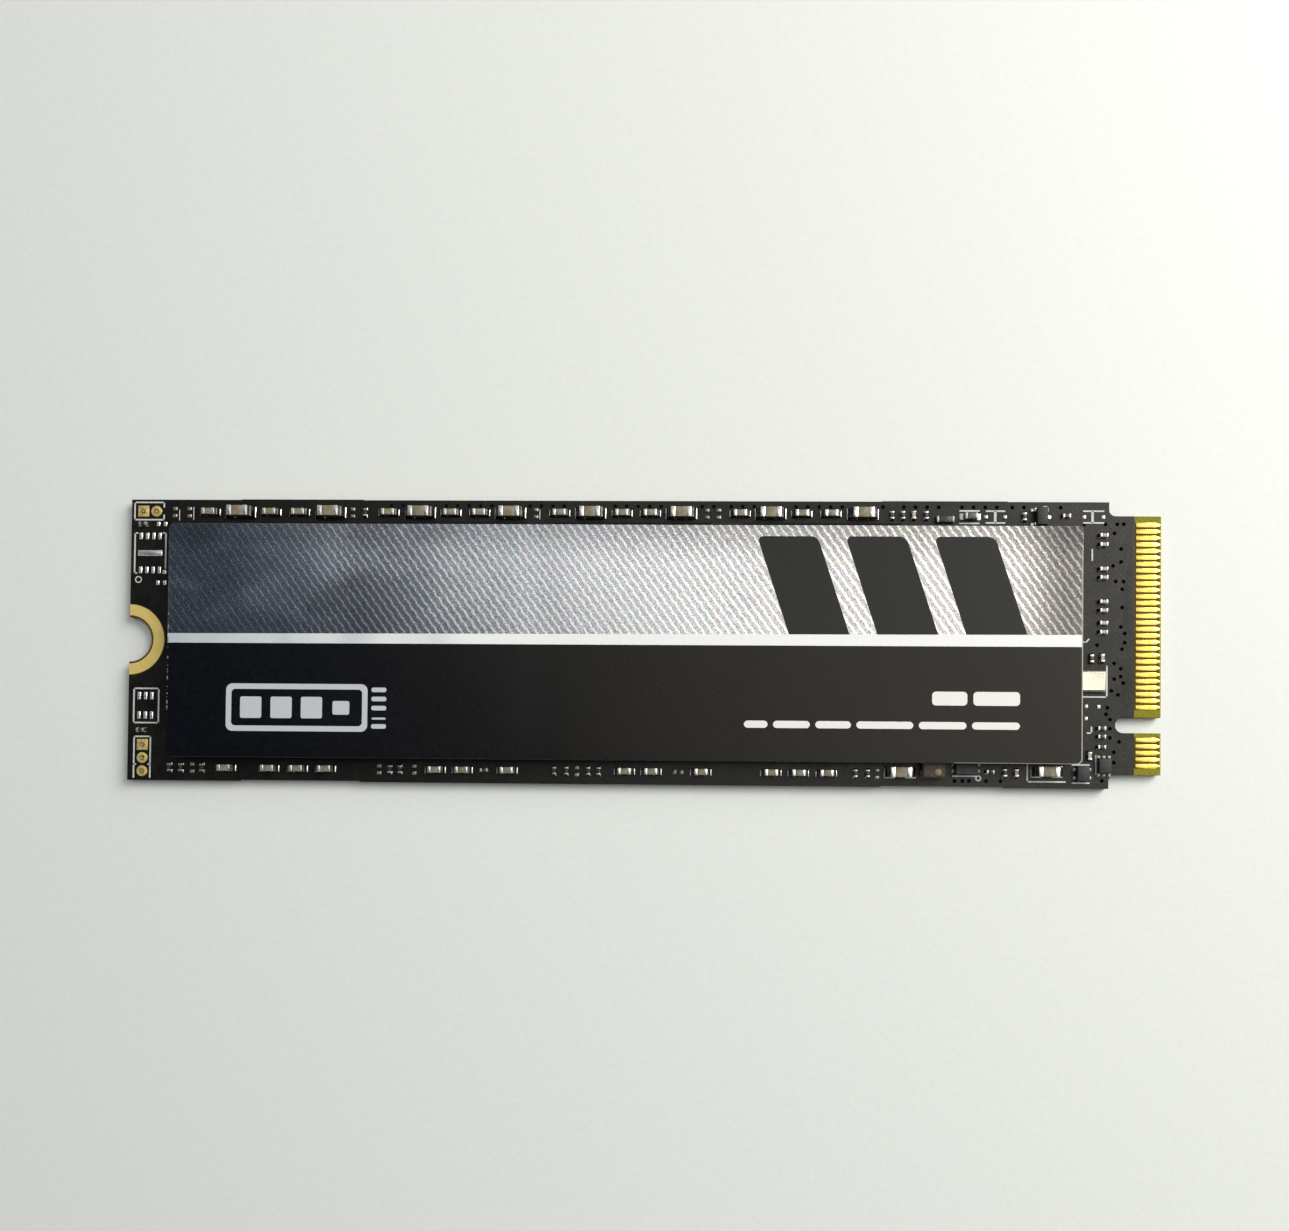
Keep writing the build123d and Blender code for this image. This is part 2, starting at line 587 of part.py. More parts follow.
parts["crystal_lid"] = [block(*crystal_place, lid_base, lid_length, lid_width, CRYSTAL_LID_HEIGHT)]

# Small moulded packages and their leads
transistor_x, transistor_y = upper_right(TRANSISTOR_AT)
transistor_size = (TRANSISTOR_LENGTH, TRANSISTOR_WIDTH, TRANSISTOR_HEIGHT)
parts["transistor"] = [block(transistor_x, transistor_y, SEAT + TRANSISTOR_STANDOFF, *transistor_size)]
transistor_left = transistor_x - TRANSISTOR_LENGTH / 2
parts["transistor_leads"] = [
    gull_lead(transistor_left, transistor_y + TRANSISTOR_LEAD_SPREAD / 2, -1),
    gull_lead(transistor_left, transistor_y - TRANSISTOR_LEAD_SPREAD / 2, -1),
    gull_lead(transistor_x + TRANSISTOR_LENGTH / 2, transistor_y, 1),
]
shifter_place = lower_right(LEVEL_SHIFTER_AT)
switch_place = lower_right(LOAD_SWITCH_AT)
regulator_place = lower_right(REGULATOR_AT)
shifter_lead_row = (LEVEL_SHIFTER_WIDTH / 2, LEVEL_SHIFTER_LEAD_PITCH, LEVEL_SHIFTER_LEAD_COUNT)
switch_lead_row = (LOAD_SWITCH_LENGTH / 2, LOAD_SWITCH_LEAD_PITCH, LOAD_SWITCH_LEAD_COUNT)
regulator_lead_row = (REGULATOR_LENGTH / 2, REGULATOR_LEAD_PITCH, REGULATOR_LEAD_COUNT)
shifter_leads = flat_leads(shifter_place, *shifter_lead_row, standing=True)
switch_leads = flat_leads(switch_place, *switch_lead_row)
regulator_leads = flat_leads(regulator_place, *regulator_lead_row)
shifter_size = (LEVEL_SHIFTER_LENGTH, LEVEL_SHIFTER_WIDTH, LEVEL_SHIFTER_HEIGHT)
switch_size = (LOAD_SWITCH_LENGTH, LOAD_SWITCH_WIDTH, LOAD_SWITCH_HEIGHT)
regulator_size = (REGULATOR_LENGTH, REGULATOR_WIDTH, REGULATOR_HEIGHT)
parts["level_shifter"] = [block(*shifter_place, SEAT, *shifter_size)]
parts["load_switch"] = [block(*switch_place, SEAT, *switch_size)]
parts["voltage_regulator"] = [block(*regulator_place, SEAT, *regulator_size)]
parts["small_package_leads"] = shifter_leads + switch_leads + regulator_leads

# Solder lands, grouped by the strip of the card that they lie on
upper_lands = pairs(land_pair, upper_bulk, BULK_LANDS)
upper_lands += pairs(land_pair, upper_bypass, BYPASS_LANDS)
upper_lands += pairs(land_pair, upper_standing, TINY_LANDS, True)
upper_lands += pairs(land_pair, along_row(UPPER_SPARE_AT, ROW_Y, half_tiny), TINY_LANDS, True)
parts["solder_lands_upper"] = upper_lands
lower_lands = pairs(land_pair, lower_bypass, BYPASS_LANDS)
lower_lands += pairs(land_pair, lower_standing, TINY_LANDS, True)
lower_lands += pairs(land_pair, along_row(LOWER_SPARE_AT, -ROW_Y, half_tiny), TINY_LANDS, True)
lower_lands += pairs(land_pair, lower_lying, TINY_LANDS)
lower_lands += pairs(land_pair, along_row(LOWER_FLAT_SPARE_AT, -ROW_Y, TINY_LAND_SPAN / 2), TINY_LANDS)
parts["solder_lands_lower"] = lower_lands
contact_end_lands = pairs(land_pair, tiny_standing + right_standing, TINY_LANDS, True)
contact_end_lands += pairs(land_pair, lanes + right_lying, TINY_LANDS)
contact_end_lands += pairs(land_pair, lower_bulk, BULK_LANDS)
contact_end_lands += land_pair(bead_place, BYPASS_LANDS)
sense_lands = (SENSE_LENGTH + LAND, SENSE_LENGTH - 2 * SENSE_END, SENSE_WIDTH)
contact_end_lands += land_pair(sense_place, sense_lands)
diode_lands = (DIODE_LAND_SPACING + LAND_SMALL, DIODE_LAND_SPACING - LAND_SMALL, LAND_SMALL)
contact_end_lands += pairs(land_pair, [upper_right(place) for place in SPARE_DIODES], diode_lands)
for place in SINGLE_LANDS:
    contact_end_lands.append(block(*near_contacts(place), BOARD_THICKNESS, LAND_SMALL, LAND_SMALL, LAND))
crystal_lands = (CRYSTAL_LENGTH, CRYSTAL_LENGTH - 2 * CRYSTAL_LAND_LENGTH, CRYSTAL_LAND_WIDTH)
for side in (-1, 1):
    row_y = crystal_place[1] + side * (CRYSTAL_WIDTH - CRYSTAL_LAND_WIDTH) / 2
    contact_end_lands += land_pair((crystal_place[0], row_y), crystal_lands)
contact_end_lands += flat_lead_lands(shifter_leads + switch_leads + regulator_leads)
for lead in parts["transistor_leads"]:
    foot = lead.bounding_box()
    outer = foot.max.X if foot.center().X > transistor_x else foot.min.X
    inward = GULL_FOOT / 2 if outer < transistor_x else -GULL_FOOT / 2
    contact_end_lands.append(
        block(outer + inward, foot.center().Y, BOARD_THICKNESS, GULL_FOOT + LAND, GULL_WIDTH + LAND, LAND)
    )
parts["solder_lands_contact_end"] = contact_end_lands
flash_place = upper_left(FLASH_AT)
six_place = lower_left(SIX_AT)
screw_end_lands = pairs(land_pair, screw_end_lying, TINY_LANDS)
screw_end_lands += pairs(land_pair, [upper_left(place) for place in UPPER_LEFT_SPARES], TINY_LANDS)
lone_land = upper_left(UPPER_LEFT_LAND_AT)
screw_end_lands.append(block(*lone_land, BOARD_THICKNESS, LAND_SMALL, LAND_SMALL, LAND))
screw_end_lands += spare_rows(*flash_place, FLASH_COLUMNS, FLASH_ROW_SPACING, FLASH_PAD_LENGTH)
screw_end_lands.append(block(*flash_place, BOARD_THICKNESS, FLASH_BAR_LENGTH, FLASH_BAR_WIDTH, LAND))
screw_end_lands += spare_rows(*six_place, SIX_COLUMNS, SIX_ROW_SPACING, SIX_PAD_LENGTH)
parts["solder_lands_screw_end"] = screw_end_lands

# The label goes on last
parts["label"] = [label_sheet()]

os.makedirs("parts", exist_ok=True)
for name, solids in parts.items():
    shape = solids[0] if len(solids) == 1 else Compound(children=solids)
    export_step(shape, f"parts/{name}.step")
print(len(parts), "nodes")
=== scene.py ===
"""Looks of the plug-in solid-state drive card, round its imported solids, in the order of its assembly."""
import math

import bmesh
import bpy
from mathutils import Matrix, Vector


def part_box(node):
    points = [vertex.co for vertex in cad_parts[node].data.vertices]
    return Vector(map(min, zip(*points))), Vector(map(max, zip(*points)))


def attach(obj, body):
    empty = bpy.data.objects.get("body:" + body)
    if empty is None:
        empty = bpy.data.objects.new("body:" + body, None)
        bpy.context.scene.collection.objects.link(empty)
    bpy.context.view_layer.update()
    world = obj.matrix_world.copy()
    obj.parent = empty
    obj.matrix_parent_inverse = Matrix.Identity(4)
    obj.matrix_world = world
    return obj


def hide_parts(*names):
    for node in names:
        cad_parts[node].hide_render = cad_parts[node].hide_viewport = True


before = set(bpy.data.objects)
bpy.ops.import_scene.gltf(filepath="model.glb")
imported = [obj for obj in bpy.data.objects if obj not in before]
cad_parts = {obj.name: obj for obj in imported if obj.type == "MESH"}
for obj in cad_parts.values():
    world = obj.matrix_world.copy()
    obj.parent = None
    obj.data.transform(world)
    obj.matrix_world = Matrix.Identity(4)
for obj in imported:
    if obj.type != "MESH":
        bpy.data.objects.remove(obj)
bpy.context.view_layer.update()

# Circuit board
# Glass-fibre laminate with copper layers inside, coated on both faces with black solder mask and routed out
# of its panel. The tongue and the pocket round the screw notch are bare, and plugged vias dot the mask.
MM = 0.001
JOIN = 0.001 * MM
FLAT = math.radians(1)
SMOOTH_BELOW = 30
board_low, board_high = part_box("circuit_board")
CONTACT_END = board_high.x / MM
SCREW_END = board_low.x / MM
BOARD_TOP = board_high.z
BOARD_MIDDLE = BOARD_TOP / MM / 2
BOARD_ROUNDING = 0.03 * MM
BARE_TONGUE = 2.06
RING_POCKET = 2.8
VIA_RADIUS = 0.155 * MM
VIA_DEPTH = 0.25 * MM
VIA_PITCH = 0.89
UPPER_VIA_Y = 10.57
UPPER_VIA_RUNS = (
    (-19.5, 2), (-15.2, 5), (-8.65, 4), (-2.0, 5), (4.75, 2), (7.0, 3), (12.0, 5), (18.7, 1), (20.3, 4),
    (24.75, 4), (28.6, 2), (32.3, 1),
)
LOWER_VIAS = ((24.3, -10.5), (24.9, -10.5), (25.4, -10.5), (26.7, -10.5), (27.8, -10.5), (35.5, -10.4))
TONGUE_VIAS = (
    (34.1, 9.3), (35.7, 9.3), (36.6, 9.3), (37.1, 9.3), (36.4, 8.6), (36.9, 7.4), (36.9, 6.4), (36.3, 6.1),
    (36.5, 4.9), (37.1, 4.9), (37.0, 4.3), (37.0, 2.9), (36.9, 1.4), (37.2, 0.9), (37.2, 0.2), (35.1, 0.0),
    (37.0, -0.3), (36.4, -1.4), (36.9, -1.8), (36.9, -2.4), (36.4, -2.6), (37.1, -2.9), (36.2, -3.5),
    (36.7, -3.8), (35.9, -4.8), (35.8, -5.3), (36.1, -5.7), (36.1, -6.4), (36.1, -7.1), (36.8, -7.4),
    (36.4, -8.2), (36.4, -9.0),
)


def work_on(*pieces):
    """Makes these pieces the only ones that operators act on."""
    bpy.ops.object.select_all(action="DESELECT")
    for piece in pieces:
        piece.select_set(True)
    bpy.context.view_layer.objects.active = pieces[0]


def apply(piece, kind, **settings):
    """Adds a modifier to a piece and applies it."""
    work_on(piece)
    modifier = piece.modifiers.new(kind.lower(), kind)
    for name, value in settings.items():
        setattr(modifier, name, value)
    bpy.ops.object.modifier_apply(modifier=modifier.name)


def round_off(piece, radius, segments=2, from_angle=SMOOTH_BELOW):
    """Rounds a piece's sharp edges and smooths its shading."""
    angle = math.radians(from_angle)
    apply(piece, "BEVEL", width=radius, segments=segments, limit_method="ANGLE", angle_limit=angle)
    bpy.ops.object.shade_smooth_by_angle(angle=angle)
    apply(piece, "WEIGHTED_NORMAL", keep_sharp=True)


def solid_copy(node, name):
    """A copy of a CAD node with its facets joined into whole faces."""
    piece = bpy.data.objects.new(name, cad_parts[node].data.copy())
    bpy.context.collection.objects.link(piece)
    piece.data.materials.clear()
    work_on(piece)
    bpy.ops.mesh.customdata_custom_splitnormals_clear()
    bpy.ops.object.mode_set(mode="EDIT")
    bpy.ops.mesh.select_all(action="SELECT")
    bpy.ops.mesh.remove_doubles(threshold=JOIN)
    bpy.ops.mesh.dissolve_limited(angle_limit=FLAT)
    bpy.ops.object.mode_set(mode="OBJECT")
    return piece


def repeat(master, name, moves):
    """Joins moved copies of one modelled shape into a single piece."""
    copies = []
    for move in moves:
        mesh = master.data.copy()
        mesh.transform(move)
        copies.append(bpy.data.objects.new(name, mesh))
        bpy.context.collection.objects.link(copies[-1])
    bpy.data.objects.remove(master)
    work_on(*copies)
    bpy.ops.object.join()
    return copies[0]


def seat(piece, slot, material, *nodes):
    """Gives a finished piece its material and puts it on the card in place of its plain solids."""
    piece.data.materials.append(material)
    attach(piece, "root")
    if nodes:
        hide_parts(*nodes)


def put(tree, value, socket):
    """Feeds a socket from another node, or sets it to a plain value."""
    if isinstance(value, bpy.types.NodeSocket):
        tree.links.new(value, socket)
    else:
        socket.default_value = value


def calc(tree, operation, *values):
    """One step of arithmetic on sockets and numbers."""
    step = tree.nodes.new("ShaderNodeMath")
    step.operation = operation
    for value, socket in zip(values, step.inputs):
        put(tree, value, socket)
    return step.outputs[0]


def fade(tree, value, start, end, low=0.0, high=1.0):
    """Goes smoothly from low to high while the value goes from start to end."""
    step = tree.nodes.new("ShaderNodeMapRange")
    step.interpolation_type = "SMOOTHSTEP"
    for number, socket in zip((value, start, end, low, high), step.inputs):
        put(tree, number, socket)
    return step.outputs[0]


def blend(tree, share, first, second):
    """Mixes two colours."""
    step = tree.nodes.new("ShaderNodeMix")
    step.data_type = "RGBA"
    for value, socket in zip((share, first, second), (step.inputs[0], step.inputs[6], step.inputs[7])):
        put(tree, value if isinstance(value, (float, bpy.types.NodeSocket)) else (*value, 1.0), socket)
    return step.outputs[2]


def cloud(tree, place, scale, detail=3.0):
    """Soft random variation from 0 to 1; scale is in blotches a millimetre."""
    step = tree.nodes.new("ShaderNodeTexNoise")
    put(tree, place, step.inputs["Vector"])
    put(tree, scale, step.inputs["Scale"])
    put(tree, detail, step.inputs["Detail"])
    return step.outputs[0]


def stretch(tree, place, scale, turn=0.0):
    """Scales a place along its axes, after turning it about the card's normal."""
    step = tree.nodes.new("ShaderNodeMapping")
    put(tree, place, step.inputs["Vector"])
    put(tree, (0.0, 0.0, turn), step.inputs["Rotation"])
    put(tree, scale, step.inputs["Scale"])
    return step.outputs[0]


def card_place(tree):
    """The place on the card, in millimetres."""
    return stretch(tree, tree.nodes.new("ShaderNodeTexCoord").outputs["Object"], (1 / MM, 1 / MM, 1 / MM))


def new_finish(name):
    """A new material, with its node tree, its shader and the place on the card."""
    material = bpy.data.materials.new(name)
    material.use_nodes = True
    tree = material.node_tree
    return material, tree, tree.nodes["Principled BSDF"], card_place(tree)


def emboss(tree, shader, height, depth):
    """Bumps a surface by a height pattern; depth is in millimetres."""
    bump = tree.nodes.new("ShaderNodeBump")
    put(tree, depth * MM, bump.inputs["Distance"])
    put(tree, height, bump.inputs["Height"])
    put(tree, bump.outputs[0], shader.inputs["Normal"])


def split(tree, place):
    """The place's three coordinates."""
    step = tree.nodes.new("ShaderNodeSeparateXYZ")
    put(tree, place, step.inputs[0])
    return step.outputs[0], step.outputs[1], step.outputs[2]


MASK_BLACK = (0.002, 0.0025, 0.002)
MASK_WORN = (0.026, 0.02, 0.008)
MASK_SHEEN = 0.33
MASK_EDGE = 0.01
MASK_ROUGH = (0.3, 0.42)
ROUGH_PER_MM = 1.3
ROUGH_SPAN = (0.3, 0.75)
BARE_ROUGHER = 0.12
COATED_FROM = (0.375, 0.385)
STAINS_FADE_INTO_SHADE = (10.0, 36.0, 0.4, 1.0)
STAINS_PER_MM = 0.6
STAIN_SPAN = (0.3, 0.7)
SPOTS_PER_MM = 7.0
SPOT_SPAN = (0.35, 0.65)
CUT_EDGE = (0.006, 0.005, 0.004)
EDGE_GRAIN = (3.0, 3.0, 12.0)
EDGE_DARKNESS = 0.9
LAMINATE = (0.3, 0.27, 0.022)
LAMINATE_DARK = (0.22, 0.19, 0.02)
# Painted shade for the bare laminate between the gold fingers.
GAP_PAINTED_SHADE = (0.1, 0.06, 0.004)
GAP_SHADE_EDGE = 0.03
FINGER_TIPS = 0.17
TIP_EDGE = 0.05
KEY_MIDDLE = -6.0
KEY_CLEAR = 1.04
WEAVE_PITCH = 0.42
WEAVE_SHARE = 0.3
WEAVE_HEIGHT = 0.35
FIBRES_PER_MM = 4.0
FIBRE_SPAN = (0.0, 0.9)
GRAIN_PER_MM = 9.0
BOARD_GRAIN = 0.004

board_finish, tree, shader, place = new_finish("black_mask_on_laminate")
x, y, z = split(tree, place)
from_end = calc(tree, "POWER", calc(tree, "SUBTRACT", x, SCREW_END), 2.0)
from_notch = calc(tree, "POWER", calc(tree, "ADD", from_end, calc(tree, "POWER", y, 2.0)), 0.5)
at_notch = fade(tree, from_notch, RING_POCKET, RING_POCKET + 2 * MASK_EDGE, 1.0, 0.0)
mask_end = CONTACT_END - BARE_TONGUE
at_tongue = fade(tree, x, mask_end - MASK_EDGE, mask_end + MASK_EDGE)
bare = calc(tree, "MAXIMUM", at_notch, at_tongue)
from_middle = calc(tree, "ABSOLUTE", calc(tree, "SUBTRACT", z, BOARD_MIDDLE))
on_face = fade(tree, from_middle, *COATED_FROM)
weave = calc(tree, "MULTIPLY", calc(tree, "SINE", calc(tree, "MULTIPLY", x, 2 * math.pi / WEAVE_PITCH)),
             calc(tree, "SINE", calc(tree, "MULTIPLY", y, 2 * math.pi / WEAVE_PITCH)))
fibre = calc(tree, "MULTIPLY_ADD", weave, WEAVE_SHARE, cloud(tree, place, FIBRES_PER_MM))
fibre = fade(tree, fibre, *FIBRE_SPAN)
# Warm stains mottle the mask. Towards the screw end they fade to 0.4 of their strength, which is partly
# painted shade for the darker left of the card.
stain = calc(tree, "MULTIPLY", fade(tree, cloud(tree, place, STAINS_PER_MM), *STAIN_SPAN),
             fade(tree, cloud(tree, place, SPOTS_PER_MM), *SPOT_SPAN))
stain = calc(tree, "MULTIPLY", stain, fade(tree, x, *STAINS_FADE_INTO_SHADE))
mask = blend(tree, stain, MASK_BLACK, MASK_WORN)
edge = blend(tree, cloud(tree, stretch(tree, place, EDGE_GRAIN), 1.0), CUT_EDGE, LAMINATE_DARK)
edge = blend(tree, EDGE_DARKNESS, edge, CUT_EDGE)
faced = blend(tree, on_face, edge, mask)
# The bare laminate between the gold fingers is painted darker: painted shade between the fingers, which stops
# short of their tips and leaves the key slot clear.
row_low, row_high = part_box("edge_contacts_top")
from_row = calc(tree, "ABSOLUTE", calc(tree, "SUBTRACT", y, (row_low.y + row_high.y) / MM / 2))
half_row = (row_high.y - row_low.y) / MM / 2
tips = CONTACT_END - FINGER_TIPS
gap_shade = calc(tree, "MULTIPLY", fade(tree, from_row, half_row - GAP_SHADE_EDGE, half_row + GAP_SHADE_EDGE, 1.0, 0.0),
              fade(tree, x, tips - TIP_EDGE, tips + TIP_EDGE, 1.0, 0.0))
from_key = calc(tree, "ABSOLUTE", calc(tree, "SUBTRACT", y, KEY_MIDDLE))
gap_shade = calc(tree, "MULTIPLY", gap_shade, fade(tree, from_key, KEY_CLEAR - GAP_SHADE_EDGE, KEY_CLEAR + GAP_SHADE_EDGE))
laminate = blend(tree, gap_shade, blend(tree, fibre, LAMINATE_DARK, LAMINATE), GAP_PAINTED_SHADE)
put(tree, blend(tree, bare, faced, laminate), shader.inputs["Base Color"])
gloss = fade(tree, cloud(tree, place, ROUGH_PER_MM), *ROUGH_SPAN, *MASK_ROUGH)
gloss = calc(tree, "ADD", gloss, calc(tree, "MULTIPLY", bare, BARE_ROUGHER))
put(tree, calc(tree, "MAXIMUM", gloss, calc(tree, "SUBTRACT", 1.0, on_face)), shader.inputs["Roughness"])
put(tree, MASK_SHEEN, shader.inputs["Specular IOR Level"])
grain = calc(tree, "MULTIPLY_ADD", weave, WEAVE_HEIGHT, cloud(tree, place, GRAIN_PER_MM))
emboss(tree, shader, grain, BOARD_GRAIN)

board = solid_copy("circuit_board", "mask_coated_board")
round_off(board, BOARD_ROUNDING)
vias = [(start + i * VIA_PITCH, UPPER_VIA_Y) for start, count in UPPER_VIA_RUNS for i in range(count)]
vias += LOWER_VIAS + TONGUE_VIAS
bpy.ops.mesh.primitive_cylinder_add(vertices=10, radius=VIA_RADIUS, depth=2 * VIA_DEPTH)
drill_moves = [Matrix.Translation((x * MM, y * MM, face)) for x, y in vias for face in (BOARD_TOP, 0.0)]
drills = repeat(bpy.context.object, "via_drills", drill_moves)
apply(board, "BOOLEAN", operation="DIFFERENCE", solver="EXACT", object=drills)
bpy.data.objects.remove(drills)
work_on(board)
bpy.ops.object.shade_smooth_by_angle(angle=math.radians(SMOOTH_BELOW))
apply(board, "WEIGHTED_NORMAL", keep_sharp=True)
seat(board, "solder_mask", board_finish, "circuit_board")

# Edge contacts
# Two rows of copper fingers, plated with nickel and hard gold, that taper at the tip so that the socket's
# springs slide on. They are etched from the card's outer copper and stand in the bare strip of the tongue.
CONTACT_ROUNDING = 0.008 * MM
WEAR_START = (38.89, 39.01)
WEAR_END = (39.28, 39.48, 1.0, 0.55)
SCUFFS_PER_MM = 1.8
SCUFF_SPAN = (0.35, 0.6)
WORN_GOLD = (0.92, 0.57, 0.07)
BLOTCH_SPAN = (0.3, 0.7)
GRAIN_FINER = 7.0
GRAIN_SPAN = (0.25, 0.75)


def mottle_group():
    """A cloudy surface: colour and roughness vary together, and fine grain gives it height."""
    group = bpy.data.node_groups.new("mottled_surface", "ShaderNodeTree")
    sockets = group.interface
    for name, kind in (("Place", "Vector"), ("Dark", "Color"), ("Light", "Color"), ("Grain", "Float"),
                       ("Smooth", "Float"), ("Rough", "Float")):
        sockets.new_socket(name, in_out="INPUT", socket_type="NodeSocket" + kind)
    for name, kind in (("Colour", "Color"), ("Roughness", "Float"), ("Height", "Float")):
        sockets.new_socket(name, in_out="OUTPUT", socket_type="NodeSocket" + kind)
    given = group.nodes.new("NodeGroupInput").outputs
    result = group.nodes.new("NodeGroupOutput").inputs
    blotches = fade(group, cloud(group, given["Place"], given["Grain"]), *BLOTCH_SPAN)
    grain = cloud(group, given["Place"], calc(group, "MULTIPLY", given["Grain"], GRAIN_FINER))
    put(group, blend(group, blotches, given["Dark"], given["Light"]), result["Colour"])
    put(group, fade(group, grain, *GRAIN_SPAN, given["Smooth"], given["Rough"]), result["Roughness"])
    put(group, calc(group, "ADD", blotches, grain), result["Height"])
    return group


mottle = mottle_group()


def mottled(name, dark, light, grain, roughness, metallic=0.0, depth=0.002, along=(1.0, 1.0, 1.0)):
    """A material with the cloudy surface; along stretches its grain."""
    material, tree, shader, place = new_finish(name)
    surface = tree.nodes.new("ShaderNodeGroup")
    surface.node_tree = mottle
    put(tree, stretch(tree, place, along), surface.inputs["Place"])
    put(tree, (*dark, 1.0), surface.inputs["Dark"])
    put(tree, (*light, 1.0), surface.inputs["Light"])
    put(tree, grain, surface.inputs["Grain"])
    put(tree, roughness[0], surface.inputs["Smooth"])
    put(tree, roughness[1], surface.inputs["Rough"])
    put(tree, surface.outputs["Colour"], shader.inputs["Base Color"])
    put(tree, surface.outputs["Roughness"], shader.inputs["Roughness"])
    put(tree, metallic, shader.inputs["Metallic"])
    emboss(tree, shader, surface.outputs["Height"], depth)
    return material


hard_gold = mottled("hard_gold", (0.92, 0.67, 0.14), (0.99, 0.75, 0.19), grain=2.0, roughness=(0.2, 0.34),
                    metallic=1.0, depth=0.0004, along=(0.3, 1.2, 1.0))
tree, shader = hard_gold.node_tree, hard_gold.node_tree.nodes["Principled BSDF"]
unworn = shader.inputs["Base Color"].links[0].from_socket
place = card_place(tree)
x, y, z = split(tree, place)
scuffed = calc(tree, "MULTIPLY", fade(tree, x, *WEAR_START), fade(tree, x, *WEAR_END))
scuffed = calc(tree, "MULTIPLY", scuffed, fade(tree, cloud(tree, place, SCUFFS_PER_MM), *SCUFF_SPAN))
put(tree, blend(tree, scuffed, unworn, WORN_GOLD), shader.inputs["Base Color"])
for side in ("top", "bottom"):
    contacts = solid_copy("edge_contacts_" + side, "gold_fingers_" + side)
    round_off(contacts, CONTACT_ROUNDING)
    seat(contacts, "gold_plate", hard_gold, "edge_contacts_" + side)

# Screw rings and header pads
# Bare copper under a thin wash of dull gold: a half ring on each face where the screw's head clamps, and
# plated holes for a pair and a column of header pins, their bores plugged with solder.
RING_ROUNDING = 0.012 * MM
PAD_ROUNDING = 0.02 * MM
PLUG_RADIUS = 0.2 * MM
PLUG_HEIGHT = 0.05 * MM
PLUG_STEPS = ((0.35 * PLUG_RADIUS, 0.3 * PLUG_HEIGHT), (0.3 * PLUG_RADIUS, 0.3 * PLUG_HEIGHT))
PLUG_ROUNDING = 0.2 * PLUG_HEIGHT
LEVEL = 0.99

dull_gold = mottled("dull_gold", (0.88, 0.69, 0.24), (0.91, 0.76, 0.31), grain=1.2, roughness=(0.62, 0.75),
                    metallic=1.0, depth=0.003)
for side in ("top", "bottom"):
    ring = solid_copy("screw_ring_" + side, "gold_ring_" + side)
    round_off(ring, RING_ROUNDING)
    seat(ring, "gold_plate", dull_gold, "screw_ring_" + side)


def solids_of(node):
    """The lowest and highest corner of each separate solid in a CAD node."""
    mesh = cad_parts[node].data
    corners = [tuple(round(c / JOIN) for c in vertex.co) for vertex in mesh.vertices]
    leader = {corner: corner for corner in corners}

    def first_of(corner):
        while leader[corner] != corner:
            corner = leader[corner]
        return corner

    for face in mesh.polygons:
        for index in face.vertices[1:]:
            leader[first_of(corners[index])] = first_of(corners[face.vertices[0]])
    groups = {}
    for corner in leader:
        groups.setdefault(first_of(corner), []).append(corner)
    return [(Vector(map(min, zip(*g))) * JOIN, Vector(map(max, zip(*g))) * JOIN) for g in groups.values()]


def select_faces(piece, test):
    """Selects the faces that pass a test, in edit mode."""
    mesh = bmesh.from_edit_mesh(piece.data)
    bpy.ops.mesh.select_mode(type="FACE")
    for face in mesh.faces:
        face.select_set(test(face))
    mesh.select_flush_mode()
    bmesh.update_edit_mesh(piece.data)


def faces_up(face):
    """Whether a face looks straight up."""
    return face.normal.z > LEVEL


pads = solid_copy("header_pads", "gold_header_pads")
round_off(pads, PAD_ROUNDING, 3)
lumpy_gold = mottled("lumpy_gold", (0.75, 0.5, 0.16), (1.0, 0.8, 0.36), grain=3.5, roughness=(0.4, 0.6),
                     metallic=1.0, depth=0.01)
seat(pads, "gold_plate", lumpy_gold, "header_pads")

bpy.ops.mesh.primitive_cylinder_add(vertices=20, radius=PLUG_RADIUS, depth=PLUG_HEIGHT)
plug = bpy.context.object
bpy.ops.object.mode_set(mode="EDIT")
select_faces(plug, faces_up)
for inset, drop in PLUG_STEPS:
    bpy.ops.mesh.inset(thickness=inset)
    bpy.ops.transform.translate(value=(0, 0, -drop))
bpy.ops.object.mode_set(mode="OBJECT")
round_off(plug, PLUG_ROUNDING)
pad_centres = [((low + high) / 2).xy for low, high in solids_of("header_pads")]
pad_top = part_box("header_pads")[1].z
plug_moves = [Matrix.Translation((*centre, pad_top)) for centre in pad_centres]
plugs = repeat(plug, "header_hole_plugs", plug_moves)
plug_solder = mottled("plug_solder", (0.14, 0.1, 0.03), (0.5, 0.4, 0.16), grain=4.0, roughness=(0.3, 0.5),
                      metallic=1.0, depth=0.01)
seat(plugs, "gold_plate", plug_solder)

# Solder lands
# Tinned copper pads printed with solder paste. The melted solder stands as a low pillow on each one, also on
# the spare pads that carry no part.
LAND_STEPS = ((0.035 * MM, 0.028 * MM), (0.04 * MM, 0.016 * MM))
LAND_ROUNDING = 0.012 * MM
PILLOW_ANGLE = 50
SIDE_TILT = 0.35
EDGE_ROWS = ("upper", "lower")
CHIP_FEET = ("bulk_capacitor_ends", "bypass_capacitor_ends_upper", "bypass_capacitor_ends_lower",
             "tiny_capacitor_ends", "chip_resistor_ends", "inductor_pads")

bright_tin = mottled("bright_tin", (0.82, 0.81, 0.76), (0.99, 0.98, 0.94), grain=2.5, roughness=(0.2, 0.36),
                     metallic=1.0, depth=0.003)
chip_tin = mottled("chip_tin", (0.48, 0.47, 0.42), (0.68, 0.67, 0.6), grain=2.5, roughness=(0.22, 0.38),
                   metallic=1.0, depth=0.003)
spare_tin = mottled("spare_land_tin", (0.22, 0.22, 0.2), (0.42, 0.42, 0.38), grain=3.0, roughness=(0.35, 0.5),
                    metallic=1.0, depth=0.006)
